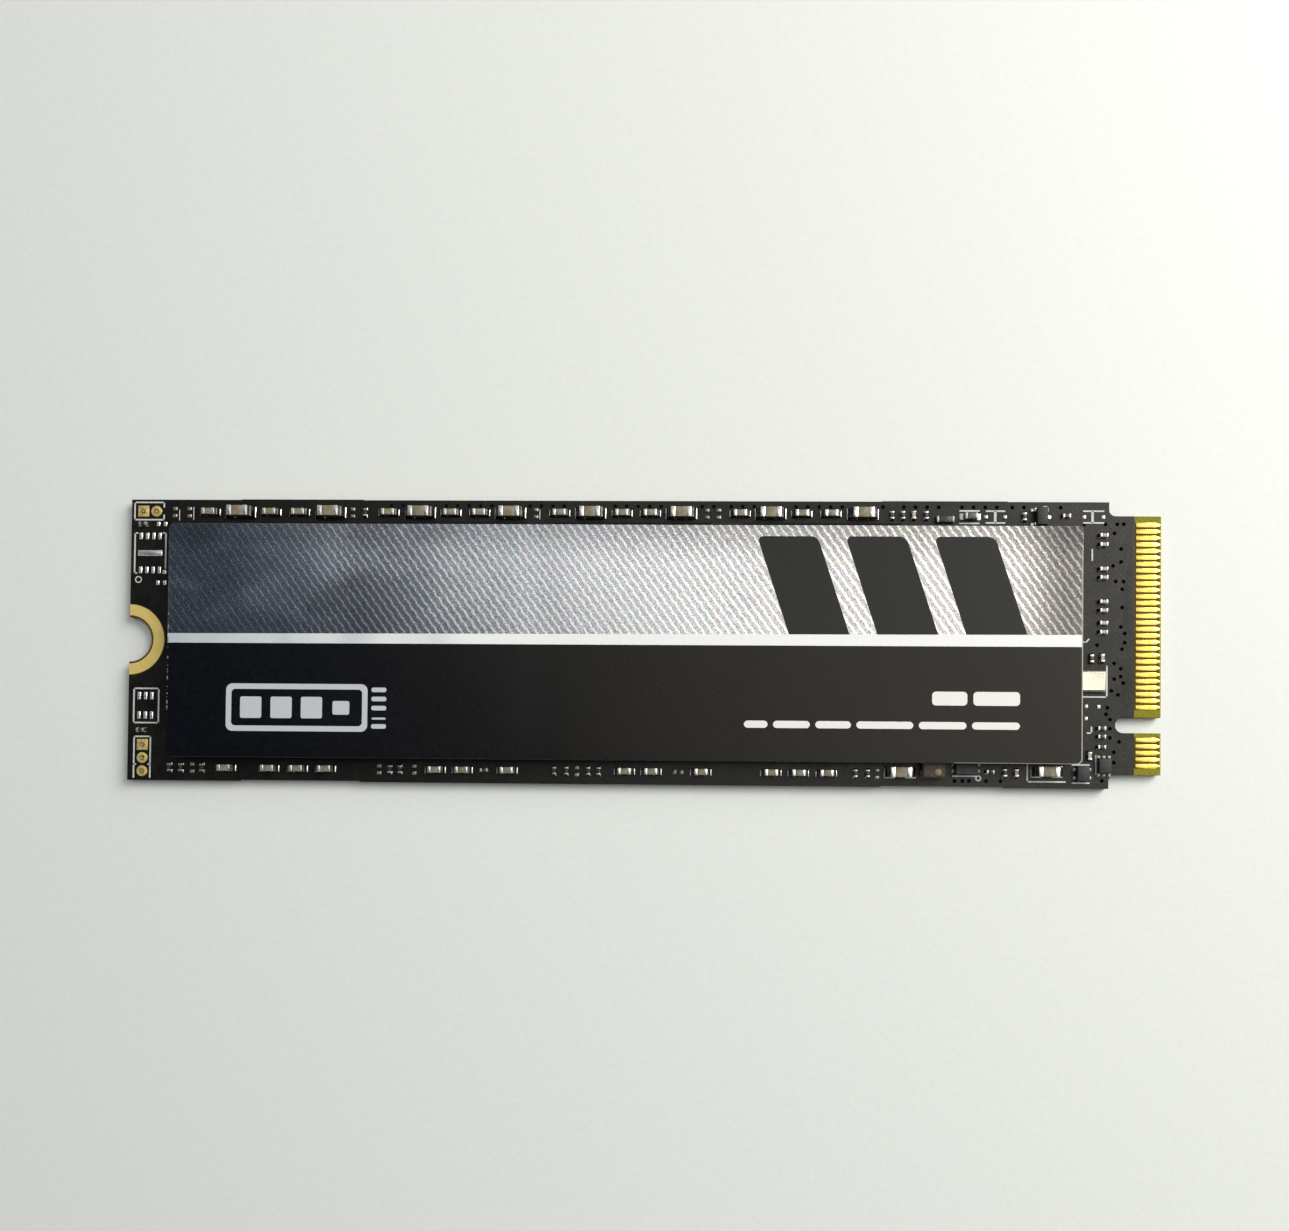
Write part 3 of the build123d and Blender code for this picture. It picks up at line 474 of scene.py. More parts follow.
# Near-black solder: painted shade, for the solder fillets and for the land flanks along the card's long
# edges.
solder_painted_dark = mottled("solder_painted_dark", (0.025, 0.025, 0.022), (0.07, 0.07, 0.064), grain=2.5,
                        roughness=(0.2, 0.34), metallic=1.0, depth=0.001)
feet = [box for node in CHIP_FEET for box in solids_of(node)]


def carries_part(low, high):
    """Whether a part stands on a land."""
    return any(foot_low.x < high.x and foot_high.x > low.x and foot_low.y < high.y and foot_high.y > low.y
               for foot_low, foot_high in feet)


for strip in ("upper", "lower", "contact_end", "screw_end"):
    lands = solid_copy("solder_lands_" + strip, "tinned_lands_" + strip)
    bpy.ops.object.mode_set(mode="EDIT")
    select_faces(lands, faces_up)
    for inset, rise in LAND_STEPS:
        bpy.ops.mesh.inset(thickness=inset, use_individual=True)
        bpy.ops.transform.translate(value=(0, 0, rise))
    bpy.ops.object.mode_set(mode="OBJECT")
    round_off(lands, LAND_ROUNDING, 1, PILLOW_ANGLE)
    seat(lands, "tin_plate", chip_tin if strip == "contact_end" else bright_tin, "solder_lands_" + strip)
    lands.data.materials.append(spare_tin)
    lands.data.materials.append(solder_painted_dark)
    edge_row = strip in EDGE_ROWS
    spares = [box for box in solids_of("solder_lands_" + strip) if edge_row and not carries_part(*box)]
    # In the edge rows, land faces that tilt across the card take the near-black solder: painted shade.
    for face in lands.data.polygons:
        spare = any(low.x < face.center.x < high.x and low.y < face.center.y < high.y for low, high in spares)
        shaded_flank = edge_row and abs(face.normal.y) > SIDE_TILT
        face.material_index = 1 if spare else 2 if shaded_flank else 0

# Memory packages and controller
# Silicon dies under black epoxy, moulded on a thin substrate and cut apart by saw. Each package is soldered
# to the card by balls that melt into short barrels.
PACKAGE_ROUNDING = 0.06 * MM
BARREL_BULGE = 1.18
BARREL_ANGLE = 60
MOULD_SHEEN = 0.12

mould_black = mottled("black_mould", (0.012, 0.012, 0.013), (0.03, 0.03, 0.032), grain=6.0,
                      roughness=(0.5, 0.68), depth=0.008)
package_mould = mottled("package_mould", (0.004, 0.004, 0.005), (0.01, 0.01, 0.011), grain=6.0,
                        roughness=(0.6, 0.75), depth=0.008)
tree = package_mould.node_tree
put(tree, MOULD_SHEEN, tree.nodes["Principled BSDF"].inputs["Specular IOR Level"])
memories = [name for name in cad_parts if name.startswith("nand_package_")]
for name in sorted(memories) + ["controller_package"]:
    package = solid_copy(name, name + "_moulded")
    round_off(package, PACKAGE_ROUNDING)
    seat(package, "mould_compound", package_mould, name)

for name in ("nand_solder_balls", "controller_solder_balls"):
    balls = solids_of(name)
    low, high = balls[0]
    width = high.x - low.x
    bpy.ops.mesh.primitive_cylinder_add(vertices=10, radius=width / 2, depth=high.z - low.z)
    ball = bpy.context.object
    bpy.ops.object.mode_set(mode="EDIT")
    bpy.ops.mesh.select_all(action="SELECT")
    bpy.ops.mesh.bisect(plane_co=(0, 0, 0), plane_no=(0, 0, 1))
    bpy.ops.transform.resize(value=(BARREL_BULGE, BARREL_BULGE, 1))
    bpy.ops.object.mode_set(mode="OBJECT")
    bpy.ops.object.shade_smooth_by_angle(angle=math.radians(BARREL_ANGLE))
    barrels = repeat(ball, name + "_melted", [Matrix.Translation((low + high) / 2) for low, high in balls])
    seat(barrels, "tin_plate", bright_tin, name)

# Chip capacitors
# Layered ceramic blocks, tumbled smooth, with both ends dipped in metal paste, fired and tinned. The large
# ones store charge for the memories, and the small ones steady the supply and couple the data lanes.
CERAMIC_ROUNDING = 0.03 * MM

taupe_ceramic = mottled("taupe_ceramic", (0.2, 0.165, 0.105), (0.31, 0.27, 0.18), grain=2.6,
                        roughness=(0.36, 0.55), depth=0.004)
pale_ceramic = mottled("pale_ceramic", (0.4, 0.36, 0.28), (0.52, 0.47, 0.37), grain=3.0, roughness=(0.4, 0.6),
                       depth=0.004)
bulk = [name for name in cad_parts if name.startswith("bulk_capacitor_") and name[-1].isdigit()]
ceramics = sorted(bulk) + [
    "bypass_capacitors_upper", "bypass_capacitors_lower", "lane_capacitors", "tiny_capacitors",
]
for name in ceramics:
    body = solid_copy(name, name + "_ceramic")
    round_off(body, CERAMIC_ROUNDING)
    small = name in ("lane_capacitors", "tiny_capacitors")
    seat(body, "capacitor_ceramic", pale_ceramic if small else taupe_ceramic, name)

# Chip resistors, bead and sense resistor
# Thick film fired on alumina under a black glaze, and a dark ferrite block: both have tinned ends like the
# capacitors and are soldered flat to the card.
black_glaze = mottled("black_glaze", (0.012, 0.013, 0.014), (0.04, 0.042, 0.042), grain=4.0,
                      roughness=(0.28, 0.45), depth=0.003)
grey_ferrite = mottled("grey_ferrite", (0.06, 0.065, 0.055), (0.12, 0.125, 0.105), grain=3.0,
                       roughness=(0.4, 0.6), depth=0.005)
for name, slot, material in (
    ("chip_resistors", "resistor_ceramic", black_glaze),
    ("sense_resistor", "resistor_ceramic", black_glaze),
    ("ferrite_bead", "ferrite", grey_ferrite),
):
    body = solid_copy(name, name + "_body")
    round_off(body, CERAMIC_ROUNDING)
    seat(body, slot, material, name)

# Tinned ends and their solder
# Each chip's end cap is plated metal with soft corners. Solder climbs from the land up the end's face in a
# hollow fillet, steep at the chip and flat at the toe. The fillet's solder is coloured near black: painted
# shade.
FILLET_CLIMB = 0.78
FILLET_HOLLOW = 0.5
FILLET_WIDTH = 0.94
FILLET_SCOOP = 90
FILLET_CUTS = 5
FILLET_ANGLE = 40


def solder_fillet(reach, width, height):
    """A hollow wedge of solder: its tall side stands at x = 0 and its toe at x = reach."""
    bpy.ops.mesh.primitive_cube_add(size=1)
    wedge = bpy.context.object
    bpy.ops.object.mode_set(mode="EDIT")
    bpy.ops.mesh.select_all(action="SELECT")
    bpy.ops.transform.resize(value=(reach, width, height))
    bpy.ops.transform.translate(value=(reach / 2, 0, height / 2))
    mesh = bmesh.from_edit_mesh(wedge.data)
    bpy.ops.mesh.select_mode(type="EDGE")
    for line in mesh.edges:
        line.select_set(all(v.co.x > reach / 2 and v.co.z > height / 2 for v in line.verts))
    bmesh.update_edit_mesh(wedge.data)
    bpy.ops.mesh.bevel(offset_type="PERCENT", offset_pct=FILLET_SCOOP, segments=FILLET_CUTS,
                       profile=FILLET_HOLLOW)
    bpy.ops.object.mode_set(mode="OBJECT")
    bpy.ops.object.shade_smooth_by_angle(angle=math.radians(FILLET_ANGLE))
    return wedge


dull_tin = mottled("dull_tin", (0.2, 0.2, 0.18), (0.4, 0.39, 0.35), grain=3.0, roughness=(0.4, 0.6),
                   metallic=1.0, depth=0.004)
# Each row: the ends' node, the bodies they close, their rounding, the reach of their solder, their plating.
CHIP_ENDS = (
    ("bulk_capacitor_ends", sorted(bulk), 0.045 * MM, 0.36 * MM, bright_tin),
    ("bypass_capacitor_ends_upper", ["bypass_capacitors_upper"], 0.03 * MM, 0.26 * MM, bright_tin),
    ("bypass_capacitor_ends_lower", ["bypass_capacitors_lower"], 0.03 * MM, 0.26 * MM, bright_tin),
    ("lane_capacitor_ends", ["lane_capacitors"], 0.025 * MM, 0.11 * MM, chip_tin),
    ("tiny_capacitor_ends", ["tiny_capacitors"], 0.025 * MM, 0.11 * MM, chip_tin),
    ("chip_resistor_ends", ["chip_resistors"], 0.03 * MM, 0.11 * MM, chip_tin),
    ("bead_and_sense_ends", ["ferrite_bead", "sense_resistor"], 0.05 * MM, 0.02 * MM, dull_tin),
)
for node, bodies, rounding, reach, plating in CHIP_ENDS:
    ends = solid_copy(node, node + "_tinned")
    round_off(ends, rounding)
    seat(ends, "tin_plate", plating, node)
    centres = [(low + high) / 2 for name in bodies for low, high in solids_of(name)]
    moves = []
    for low, high in solids_of(node):
        middle = (low + high) / 2
        nearest = min(centres, key=lambda centre: (centre - middle).length)
        outward = (middle - nearest).xy
        standing = abs(outward.y) > abs(outward.x)
        turn = math.copysign(math.pi / 2, outward.y) if standing else (0.0 if outward.x > 0 else math.pi)
        half = (high.y - low.y if standing else high.x - low.x) / 2
        foot = Vector((middle.x + math.cos(turn) * half, middle.y + math.sin(turn) * half, low.z))
        moves.append(Matrix.Translation(foot) @ Matrix.Rotation(turn, 4, "Z"))
        across = high.x - low.x if standing else high.y - low.y
        tall = high.z - low.z
    fillet = solder_fillet(reach, across * FILLET_WIDTH, tall * FILLET_CLIMB)
    solder = repeat(fillet, node + "_solder", moves)
    seat(solder, "tin_plate", solder_painted_dark)

# Power choke and inductors
# Metal powder pressed round a copper coil into a brown block, standing on two plated pads. Only the choke
# beside the label shows; the other two lie under it.
COIL_ROUNDING = 0.12 * MM
PAD_EDGE = 0.02 * MM
SPOT_AT = (22.88, -9.88)
SPOT_RADIUS = 0.24 * MM
SPOT_HEIGHT = 0.02 * MM
SPOT_ROUNDING = 0.4 * SPOT_HEIGHT

brown_powder = mottled("brown_pressed_powder", (0.02, 0.012, 0.006), (0.06, 0.04, 0.02), grain=5.0,
                       roughness=(0.5, 0.7), depth=0.01)
for name in ("power_choke", "power_inductor_1", "power_inductor_2"):
    coil = solid_copy(name, name + "_pressed")
    round_off(coil, COIL_ROUNDING, 3)
    seat(coil, "inductor_mould", brown_powder, name)
coil_pads = solid_copy("inductor_pads", "inductor_pads_tinned")
round_off(coil_pads, PAD_EDGE)
seat(coil_pads, "tin_plate", bright_tin, "inductor_pads")

bpy.ops.mesh.primitive_cylinder_add(vertices=16, radius=SPOT_RADIUS, depth=SPOT_HEIGHT)
spot = bpy.context.object
round_off(spot, SPOT_ROUNDING)
choke_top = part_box("power_choke")[1].z
spot.data.transform(Matrix.Translation((SPOT_AT[0] * MM, SPOT_AT[1] * MM, choke_top)))
spot.name = "choke_start_mark"
gold_ink = mottled("gold_ink", (0.18, 0.115, 0.05), (0.32, 0.22, 0.11), grain=4.0, roughness=(0.45, 0.65))
seat(spot, "inductor_mould", gold_ink)

# Crystal
# A ceramic tray with a quartz blade inside, closed by a thin nickel lid that is seam-welded round its rim.
LID_ROUNDING = 0.03 * MM
LID_ANGLE = 20
LID_STEP = 0.14 * MM
LID_DROP = 0.03 * MM

pale_tray = mottled("pale_ceramic_tray", (0.2, 0.18, 0.14), (0.3, 0.27, 0.21), grain=3.0,
                    roughness=(0.45, 0.6))
nickel_lid = mottled("nickel_lid", (0.52, 0.51, 0.41), (0.62, 0.61, 0.5), grain=1.0, roughness=(0.24, 0.38),
                     metallic=1.0, depth=0.003)
tray = solid_copy("crystal_base", "crystal_tray")
round_off(tray, CERAMIC_ROUNDING)
seat(tray, "crystal_ceramic", pale_tray, "crystal_base")
lid = solid_copy("crystal_lid", "crystal_welded_lid")
bpy.ops.object.mode_set(mode="EDIT")
select_faces(lid, faces_up)
bpy.ops.mesh.inset(thickness=LID_STEP)
bpy.ops.transform.translate(value=(0, 0, -LID_DROP))
bpy.ops.object.mode_set(mode="OBJECT")
round_off(lid, LID_ROUNDING, 2, LID_ANGLE)
seat(lid, "crystal_metal", nickel_lid, "crystal_lid")

# Small moulded packages
# Transistor, level shifter, load switch, regulator and power controller: epoxy moulded round a stamped lead
# frame. The mould's draft makes each body a little narrower at the top.
SMALL_ROUNDING = 0.04 * MM
MOULD_DRAFT = 0.94
LEAD_ROUNDING = 0.015 * MM

for name in ("transistor", "level_shifter", "load_switch", "voltage_regulator", "power_ic"):
    body = solid_copy(name, name + "_moulded")
    low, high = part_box(name)
    bpy.ops.object.mode_set(mode="EDIT")
    select_faces(body, faces_up)
    bpy.ops.transform.resize(value=(MOULD_DRAFT, MOULD_DRAFT, 1), center_override=(low + high) / 2)
    bpy.ops.object.mode_set(mode="OBJECT")
    round_off(body, SMALL_ROUNDING)
    seat(body, "mould_compound", mould_black, name)
for name in ("transistor_leads", "small_package_leads", "power_ic_leads"):
    leads = solid_copy(name, name + "_tinned")
    round_off(leads, LEAD_ROUNDING)
    seat(leads, "tin_plate", dull_tin if name == "small_package_leads" else bright_tin, name)

# Silkscreen
# White epoxy ink printed through a screen on the mask: outlines, pin-one rings and brackets round the parts
# and the spare footprints.
INK_HEIGHT = 0.02 * MM
INK_WIDTH = 0.115
STEM_WIDTH = 0.19
STROKE_CORNER = 0.35
RING_STROKE = 0.045 * MM
STROKES = (
    ((24.61, 10.29), (26.06, 10.29)), ((24.61, 9.33), (26.06, 9.33)),
    ((26.63, 10.28), (28.02, 10.28)), ((26.63, 9.37), (28.02, 9.37)),
    ((34.05, 10.3), (35.56, 10.3)), ((34.05, 9.4), (35.56, 9.4)),
    ((31.0, 10.62), (31.32, 10.62)), ((31.32, 10.62), (31.32, 10.3)),
    ((24.19, -10.13), (25.94, -10.13)),
    ((29.84, -9.16), (29.84, -10.51)), ((29.84, -10.51), (32.71, -10.51)),
    ((33.27, -9.19), (34.52, -9.19)), ((33.27, -10.58), (34.52, -10.58)),
    ((35.05, -8.5), (35.05, -9.91)),
    ((34.71, 7.34), (34.71, 6.52)),
    ((35.85, -1.64), (35.85, -3.98)), ((35.85, -3.98), (33.7, -3.98)),
    ((34.7, -6.3), (34.7, -6.75)), ((34.7, -6.75), (34.4, -6.75)),
    ((-39.75, 10.77), (-37.43, 10.77)), ((-39.75, 9.41), (-37.43, 9.41)), ((-39.75, 10.77), (-39.75, 9.41)),
    ((-37.43, 10.77), (-37.43, 10.42)), ((-37.43, 9.41), (-37.43, 9.76)),
    ((-39.7, 8.36), (-39.7, 5.21)), ((-39.7, 8.36), (-39.5, 8.36)), ((-39.7, 5.21), (-39.55, 5.21)),
    ((-37.25, 8.37), (-37.25, 5.61)), ((-37.25, 8.37), (-37.42, 8.37)),
    ((-39.56, -3.84), (-37.6, -3.84)), ((-39.56, -6.52), (-37.6, -6.52)),
    ((-39.56, -3.84), (-39.56, -6.52)), ((-37.6, -3.84), (-37.6, -6.52)),
    ((-39.49, -7.6), (-38.2, -7.6)), ((-39.49, -7.6), (-39.49, -10.79)), ((-38.2, -7.6), (-38.2, -10.79)),
    ((-39.49, -9.77), (-39.35, -9.77)), ((-38.34, -9.77), (-38.2, -9.77)),
    ((34.0, 0.3), (34.19, 0.16)), ((34.19, 0.16), (34.47, 0.44)),
)
FINE_WIDTH = 0.06
FINE_LINES = (
    ((-36.2, 10.18), (-36.2, 9.39)), ((-35.08, 10.38), (-35.08, 9.44)), ((-7.86, 10.27), (-7.86, 9.56)),
)
STEMS = (((27.3, 10.2), (27.3, 9.45)), ((34.72, 10.22), (34.72, 9.48)))
PIN_ONE_RINGS = ((26.11, -10.29, 0.18), (-39.38, 4.7, 0.23))

white_ink = mottled("white_ink", (0.55, 0.58, 0.56), (0.72, 0.74, 0.72), grain=5.0, roughness=(0.5, 0.7),
                    depth=0.004)


def ink_stroke(start, end, width, height, floor):
    """A straight stroke of ink with round corners on a floor height; its sizes in plan are in millimetres."""
    start, end = Vector(start) * MM, Vector(end) * MM
    run = end - start
    bpy.ops.mesh.primitive_cube_add(size=1)
    stroke = bpy.context.object
    bpy.ops.object.mode_set(mode="EDIT")
    bpy.ops.mesh.select_all(action="SELECT")
    bpy.ops.transform.resize(value=(run.length + width * MM, width * MM, height))
    mesh = bmesh.from_edit_mesh(stroke.data)
    bpy.ops.mesh.select_mode(type="EDGE")
    for line in mesh.edges:
        line.select_set(abs(line.verts[0].co.z - line.verts[1].co.z) > height / 2)
    bmesh.update_edit_mesh(stroke.data)
    bpy.ops.mesh.bevel(offset=width * MM * STROKE_CORNER, segments=2)
    bpy.ops.object.mode_set(mode="OBJECT")
    middle = (start + end) / 2
    turn = Matrix.Rotation(math.atan2(run.y, run.x), 4, "Z")
    stroke.data.transform(Matrix.Translation((middle.x, middle.y, floor + height / 2)) @ turn)
    return stroke


strokes = [ink_stroke(start, end, INK_WIDTH, INK_HEIGHT, BOARD_TOP) for start, end in STROKES]
strokes += [ink_stroke(start, end, STEM_WIDTH, INK_HEIGHT, BOARD_TOP) for start, end in STEMS]
strokes += [ink_stroke(start, end, FINE_WIDTH, INK_HEIGHT, BOARD_TOP) for start, end in FINE_LINES]
for x, y, radius in PIN_ONE_RINGS:
    bpy.ops.mesh.primitive_torus_add(major_radius=radius * MM, minor_radius=RING_STROKE,
                                     major_segments=24, minor_segments=6)
    ring = bpy.context.object
    bpy.ops.object.mode_set(mode="EDIT")
    bpy.ops.mesh.select_all(action="SELECT")
    bpy.ops.transform.resize(value=(1, 1, INK_HEIGHT / RING_STROKE / 2))
    bpy.ops.object.mode_set(mode="OBJECT")
    ring.data.transform(Matrix.Translation((x * MM, y * MM, BOARD_TOP + INK_HEIGHT / 2)))
    strokes.append(ring)
work_on(*strokes)
bpy.ops.object.join()
silkscreen = strokes[0]
silkscreen.name = "silkscreen_ink"
seat(silkscreen, "solder_mask", white_ink)

# Label
# Foil-faced paper, printed in one pass and die-cut, pressed on the packages by hand. The upper field is bare
# foil with a slanting hatch, the lower one matte black, with a white rule between them.
LABEL_ROUNDING = 0.03 * MM
LABEL_CUTS_X = 56
LABEL_CUTS_Y = 16
LABEL_RIPPLE = 0.008 * MM
RIPPLES = ((1.0, 260, 420, 0.0), (0.7, 610, -330, 1.0))
GAP_SAG = 0.02 * MM
label_low, label_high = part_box("label")

label = solid_copy("label", "foil_label")
bpy.ops.object.mode_set(mode="EDIT")
for axis, cuts in ((0, LABEL_CUTS_X), (1, LABEL_CUTS_Y)):
    normal = Vector((1, 0, 0)) if axis == 0 else Vector((0, 1, 0))
    for i in range(1, cuts):
        bpy.ops.mesh.select_all(action="SELECT")
        spot_on_axis = label_low[axis] + (label_high[axis] - label_low[axis]) * i / cuts
        bpy.ops.mesh.bisect(plane_co=normal * spot_on_axis, plane_no=normal)
bpy.ops.object.mode_set(mode="OBJECT")
round_off(label, LABEL_ROUNDING)
package_boxes = [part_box(name) for name in sorted(memories)]


def label_dip(x, y):
    """How far the label lies above or below its flat place: small ripples, and a sag between packages."""
    dip = LABEL_RIPPLE * sum(size * math.sin(a * x + b * y + shift) for size, a, b, shift in RIPPLES)
    for (_, left), (right, _) in zip(package_boxes, package_boxes[1:]):
        share = (x - left.x) / (right.x - left.x)
        if 0 < share < 1:
            dip -= GAP_SAG * math.sin(math.pi * share) ** 2
    return dip


for vertex in label.data.vertices:
    vertex.co.z += label_dip(vertex.co.x, vertex.co.y)

HATCH_WAVES = (1.563, 1.115)
FAINT_SPAN = (-34.0, -12.0)
HATCH_IN_PAINTED_SHADE = (0.3, 1.0)
WIGGLE_WAVES = (0.54, -1.02)
WIGGLE = 0.055
WANDER = 0.1
WANDERS_PER_MM = 3.0
LINE_FROM = (0.35, 0.28)
LINE_EDGE = 0.08
LINE_HEIGHT = 0.5
LINE_ROUGHER = 0.08
SPECKS_PER_MM = 11.0
SPECK_WEAR = (0.2, 0.6, 0.75, 1.0)
RULE_LEFT = (0.29, -0.44)
RULE_RIGHT = (0.55, -0.36)
RULE_BRIGHT_FROM = -10.0
RULE_CLOUDS = 24.0
RULE_CLOUDS_PER_MM = 0.3
RULE_EDGE = 0.01
PRINT_EDGE = 0.015
BAR_SLANT = 0.33
BARS = (((11.6, -2.0), (16.2, 7.95)), ((18.3, -2.0), (22.9, 7.95)), ((25.0, -2.0), (29.6, 7.95)))
BAR_CORNER = 0.5
CARD_OUTER = ((-31.65, -7.2), (-20.7, -3.55))
CARD_INNER = ((-31.23, -6.78), (-21.12, -3.97))
CARD_CHIPS = (
    ((-30.55, -6.2), (-28.9, -4.55)), ((-28.2, -6.2), (-26.55, -4.55)), ((-25.85, -6.2), (-24.2, -4.55)),
    ((-23.4, -5.9), (-22.1, -4.85)),
)
CARD_TEETH = (
    ((-20.4, -6.95), (-19.25, -6.6)), ((-20.4, -6.25), (-19.25, -6.1)), ((-20.4, -5.55), (-19.25, -5.2)),
    ((-20.4, -4.85), (-19.25, -4.5)), ((-20.4, -4.15), (-19.25, -3.8)),
)
CHIP_CORNER = 0.15
TITLE_BARS = (((22.3, -4.85), (24.95, -3.8)), ((25.4, -4.85), (28.9, -3.8)))
LINE_BARS = (
    ((8.1, -6.65), (9.9, -6.1)), ((10.3, -6.65), (13.1, -6.1)), ((13.5, -6.65), (16.2, -6.1)),
    ((16.6, -6.65), (20.9, -6.1)), ((21.3, -6.65), (24.9, -6.1)), ((25.3, -6.65), (28.9, -6.1)),
)
BAR_TIP = 0.3
RIGHT_MARGIN = 0.09
BASE_MARGIN = 0.04
BASE_MARGIN_START = 24.0
MARGIN_TOP = 7.0
MARGIN_CORNER = 0.4
OVERRUN = 5.0
CUT_PITCH = 0.47
CUT_DEPTH = 0.1
CUT_SHARE = (0.5, 0.56)
CUT_SPAN = (-6.0, 2.0)
INK_SHEEN = 0.29
INK_ROUGH = (0.27, 0.34)
INK_GRAIN_PER_MM = 3.0
INK_SPAN = (0.3, 0.7)
FOIL_ROUGH = (0.215, 0.19)
FOIL_GRAIN = 0.0015
GLITTER_PER_MM = 9.0
GLITTER = 0.14
GLINT_FROM = (0.32, 0.68)
GLINT = (0.26, 0.74)
# Each of these four: the two places between which the foil's painted reflection changes, in millimetres, and
# its level at each.
PAINTED_REFLECTION_LEFT = (-37.0, -8.0, 2.35, 2.0)
PAINTED_REFLECTION_RIGHT = (27.0, 32.5, 1.0, 0.27)
PAINTED_REFLECTION_TOP = (5.5, 8.8, 1.0, 0.62)
REFLECTION_CLOUDS = (-20.0, -9.0, 0.42, 0.0)
REFLECTION_CLOUDS_PER_MM = 0.16
REFLECTION_CLOUD_SHAPE = (1.0, 1.6, 1.0)
REFLECTION_CLOUD_TURN = 0.7
REFLECTION_CLOUD_EDGE = (0.68, 0.36)
FOIL_GAP = (0.44, 0.44, 0.46)
FOIL_LINE = (1.0, 0.99, 1.0)
FOIL_COOL_REFLECTION = (0.91, 0.99, 1.1)
FOIL_WARM_REFLECTION = (1.04, 1.005, 0.95)
BLACK_IN_SHADE = (0.0006, 0.0012, 0.0035)
BLACK_IN_LIGHT = (0.0085, 0.0058, 0.0012)
RULE_WHITE = (0.98, 0.98, 0.97)
RULE_PAINTED_SHADE = (0.55, 0.61, 0.66)
BAR_DARK = (0.012, 0.012, 0.011)
CARD_GREY = (0.62, 0.64, 0.67)
PRINT_WHITE = (0.92, 0.91, 0.88)
PAPER = (0.42, 0.4, 0.35)
PAPER_SHADE = (0.28, 0.28, 0.27)
PRINTED_SIDE = 0.5


def vector(tree, operation, *values):
    """One step of vector arithmetic."""
    step = tree.nodes.new("ShaderNodeVectorMath")
    step.operation = operation
    for value, socket in zip(values, step.inputs):
        put(tree, value, socket)
    return step.outputs["Value" if operation == "LENGTH" else "Vector"]


def printed_box_group():
    """A printed rectangle with round corners: 1 inside it and 0 outside."""
    group = bpy.data.node_groups.new("printed_box", "ShaderNodeTree")
    for name, kind in (("Place", "Vector"), ("Centre", "Vector"), ("Core", "Vector"), ("Corner", "Float")):
        group.interface.new_socket(name, in_out="INPUT", socket_type="NodeSocket" + kind)
    group.interface.new_socket("Share", in_out="OUTPUT", socket_type="NodeSocketFloat")
    given = group.nodes.new("NodeGroupInput").outputs
    result = group.nodes.new("NodeGroupOutput").inputs
    away = vector(group, "ABSOLUTE", vector(group, "SUBTRACT", given["Place"], given["Centre"]))
    past = vector(group, "MAXIMUM", vector(group, "SUBTRACT", away, given["Core"]), (0.0, 0.0, 0.0))
    flat = vector(group, "MULTIPLY", past, (1.0, 1.0, 0.0))
    gap = calc(group, "SUBTRACT", vector(group, "LENGTH", flat), given["Corner"])
    put(group, fade(group, gap, -PRINT_EDGE, PRINT_EDGE, 1.0, 0.0), result["Share"])
    return group


printed_box = printed_box_group()


def print_boxes(tree, place, boxes, corner):
    """The share of ink that a set of round-cornered boxes leaves at a place."""
    share = None
    for low, high in boxes:
        step = tree.nodes.new("ShaderNodeGroup")
        step.node_tree = printed_box
        put(tree, place, step.inputs["Place"])
        half = (high[0] - low[0]) / 2, (high[1] - low[1]) / 2
        put(tree, ((low[0] + high[0]) / 2, (low[1] + high[1]) / 2, 0.0), step.inputs["Centre"])
        put(tree, (half[0] - corner, half[1] - corner, 0.0), step.inputs["Core"])
        put(tree, corner, step.inputs["Corner"])
        share = step.outputs[0] if share is None else calc(tree, "MAXIMUM", share, step.outputs[0])
    return share


print_finish, tree, shader, place = new_finish("printed_foil")
x, y, z = split(tree, place)
left, base = label_low.x / MM, label_low.y / MM
right, top = label_high.x / MM, label_high.y / MM
along = calc(tree, "DIVIDE", calc(tree, "SUBTRACT", x, left), right - left)
rule_top = calc(tree, "MULTIPLY_ADD", along, RULE_RIGHT[0] - RULE_LEFT[0], RULE_LEFT[0])
rule_base = calc(tree, "MULTIPLY_ADD", along, RULE_RIGHT[1] - RULE_LEFT[1], RULE_LEFT[1])
above = fade(tree, calc(tree, "SUBTRACT", y, rule_top), -RULE_EDGE, RULE_EDGE)
below = fade(tree, calc(tree, "SUBTRACT", y, rule_base), -RULE_EDGE, RULE_EDGE, 1.0, 0.0)


def waves(tree, x, y, per_mm):
    """The count of waves up to a place, for waves a millimetre along each axis."""
    return calc(tree, "ADD", calc(tree, "MULTIPLY", x, per_mm[0]), calc(tree, "MULTIPLY", y, per_mm[1]))


wiggle = calc(tree, "SINE", calc(tree, "MULTIPLY", waves(tree, x, y, WIGGLE_WAVES), 2 * math.pi))
wander = calc(tree, "MULTIPLY", cloud(tree, place, WANDERS_PER_MM), WANDER)
wander = calc(tree, "MULTIPLY_ADD", wiggle, WIGGLE, wander)
saw = calc(tree, "PINGPONG", calc(tree, "ADD", waves(tree, x, y, HATCH_WAVES), wander), 0.5)
speck = cloud(tree, place, SPECKS_PER_MM, 2.0)
line_from = fade(tree, x, *FAINT_SPAN, *LINE_FROM)
line = fade(tree, saw, line_from, calc(tree, "ADD", line_from, LINE_EDGE))
hatch = calc(tree, "MULTIPLY", line, fade(tree, speck, *SPECK_WEAR))
sparkle = tree.nodes.new("ShaderNodeTexVoronoi")
put(tree, place, sparkle.inputs["Vector"])
put(tree, GLITTER_PER_MM, sparkle.inputs["Scale"])
glint = fade(tree, speck, *GLINT_FROM, *GLINT)
glint = blend(tree, GLITTER, glint, sparkle.outputs["Color"])
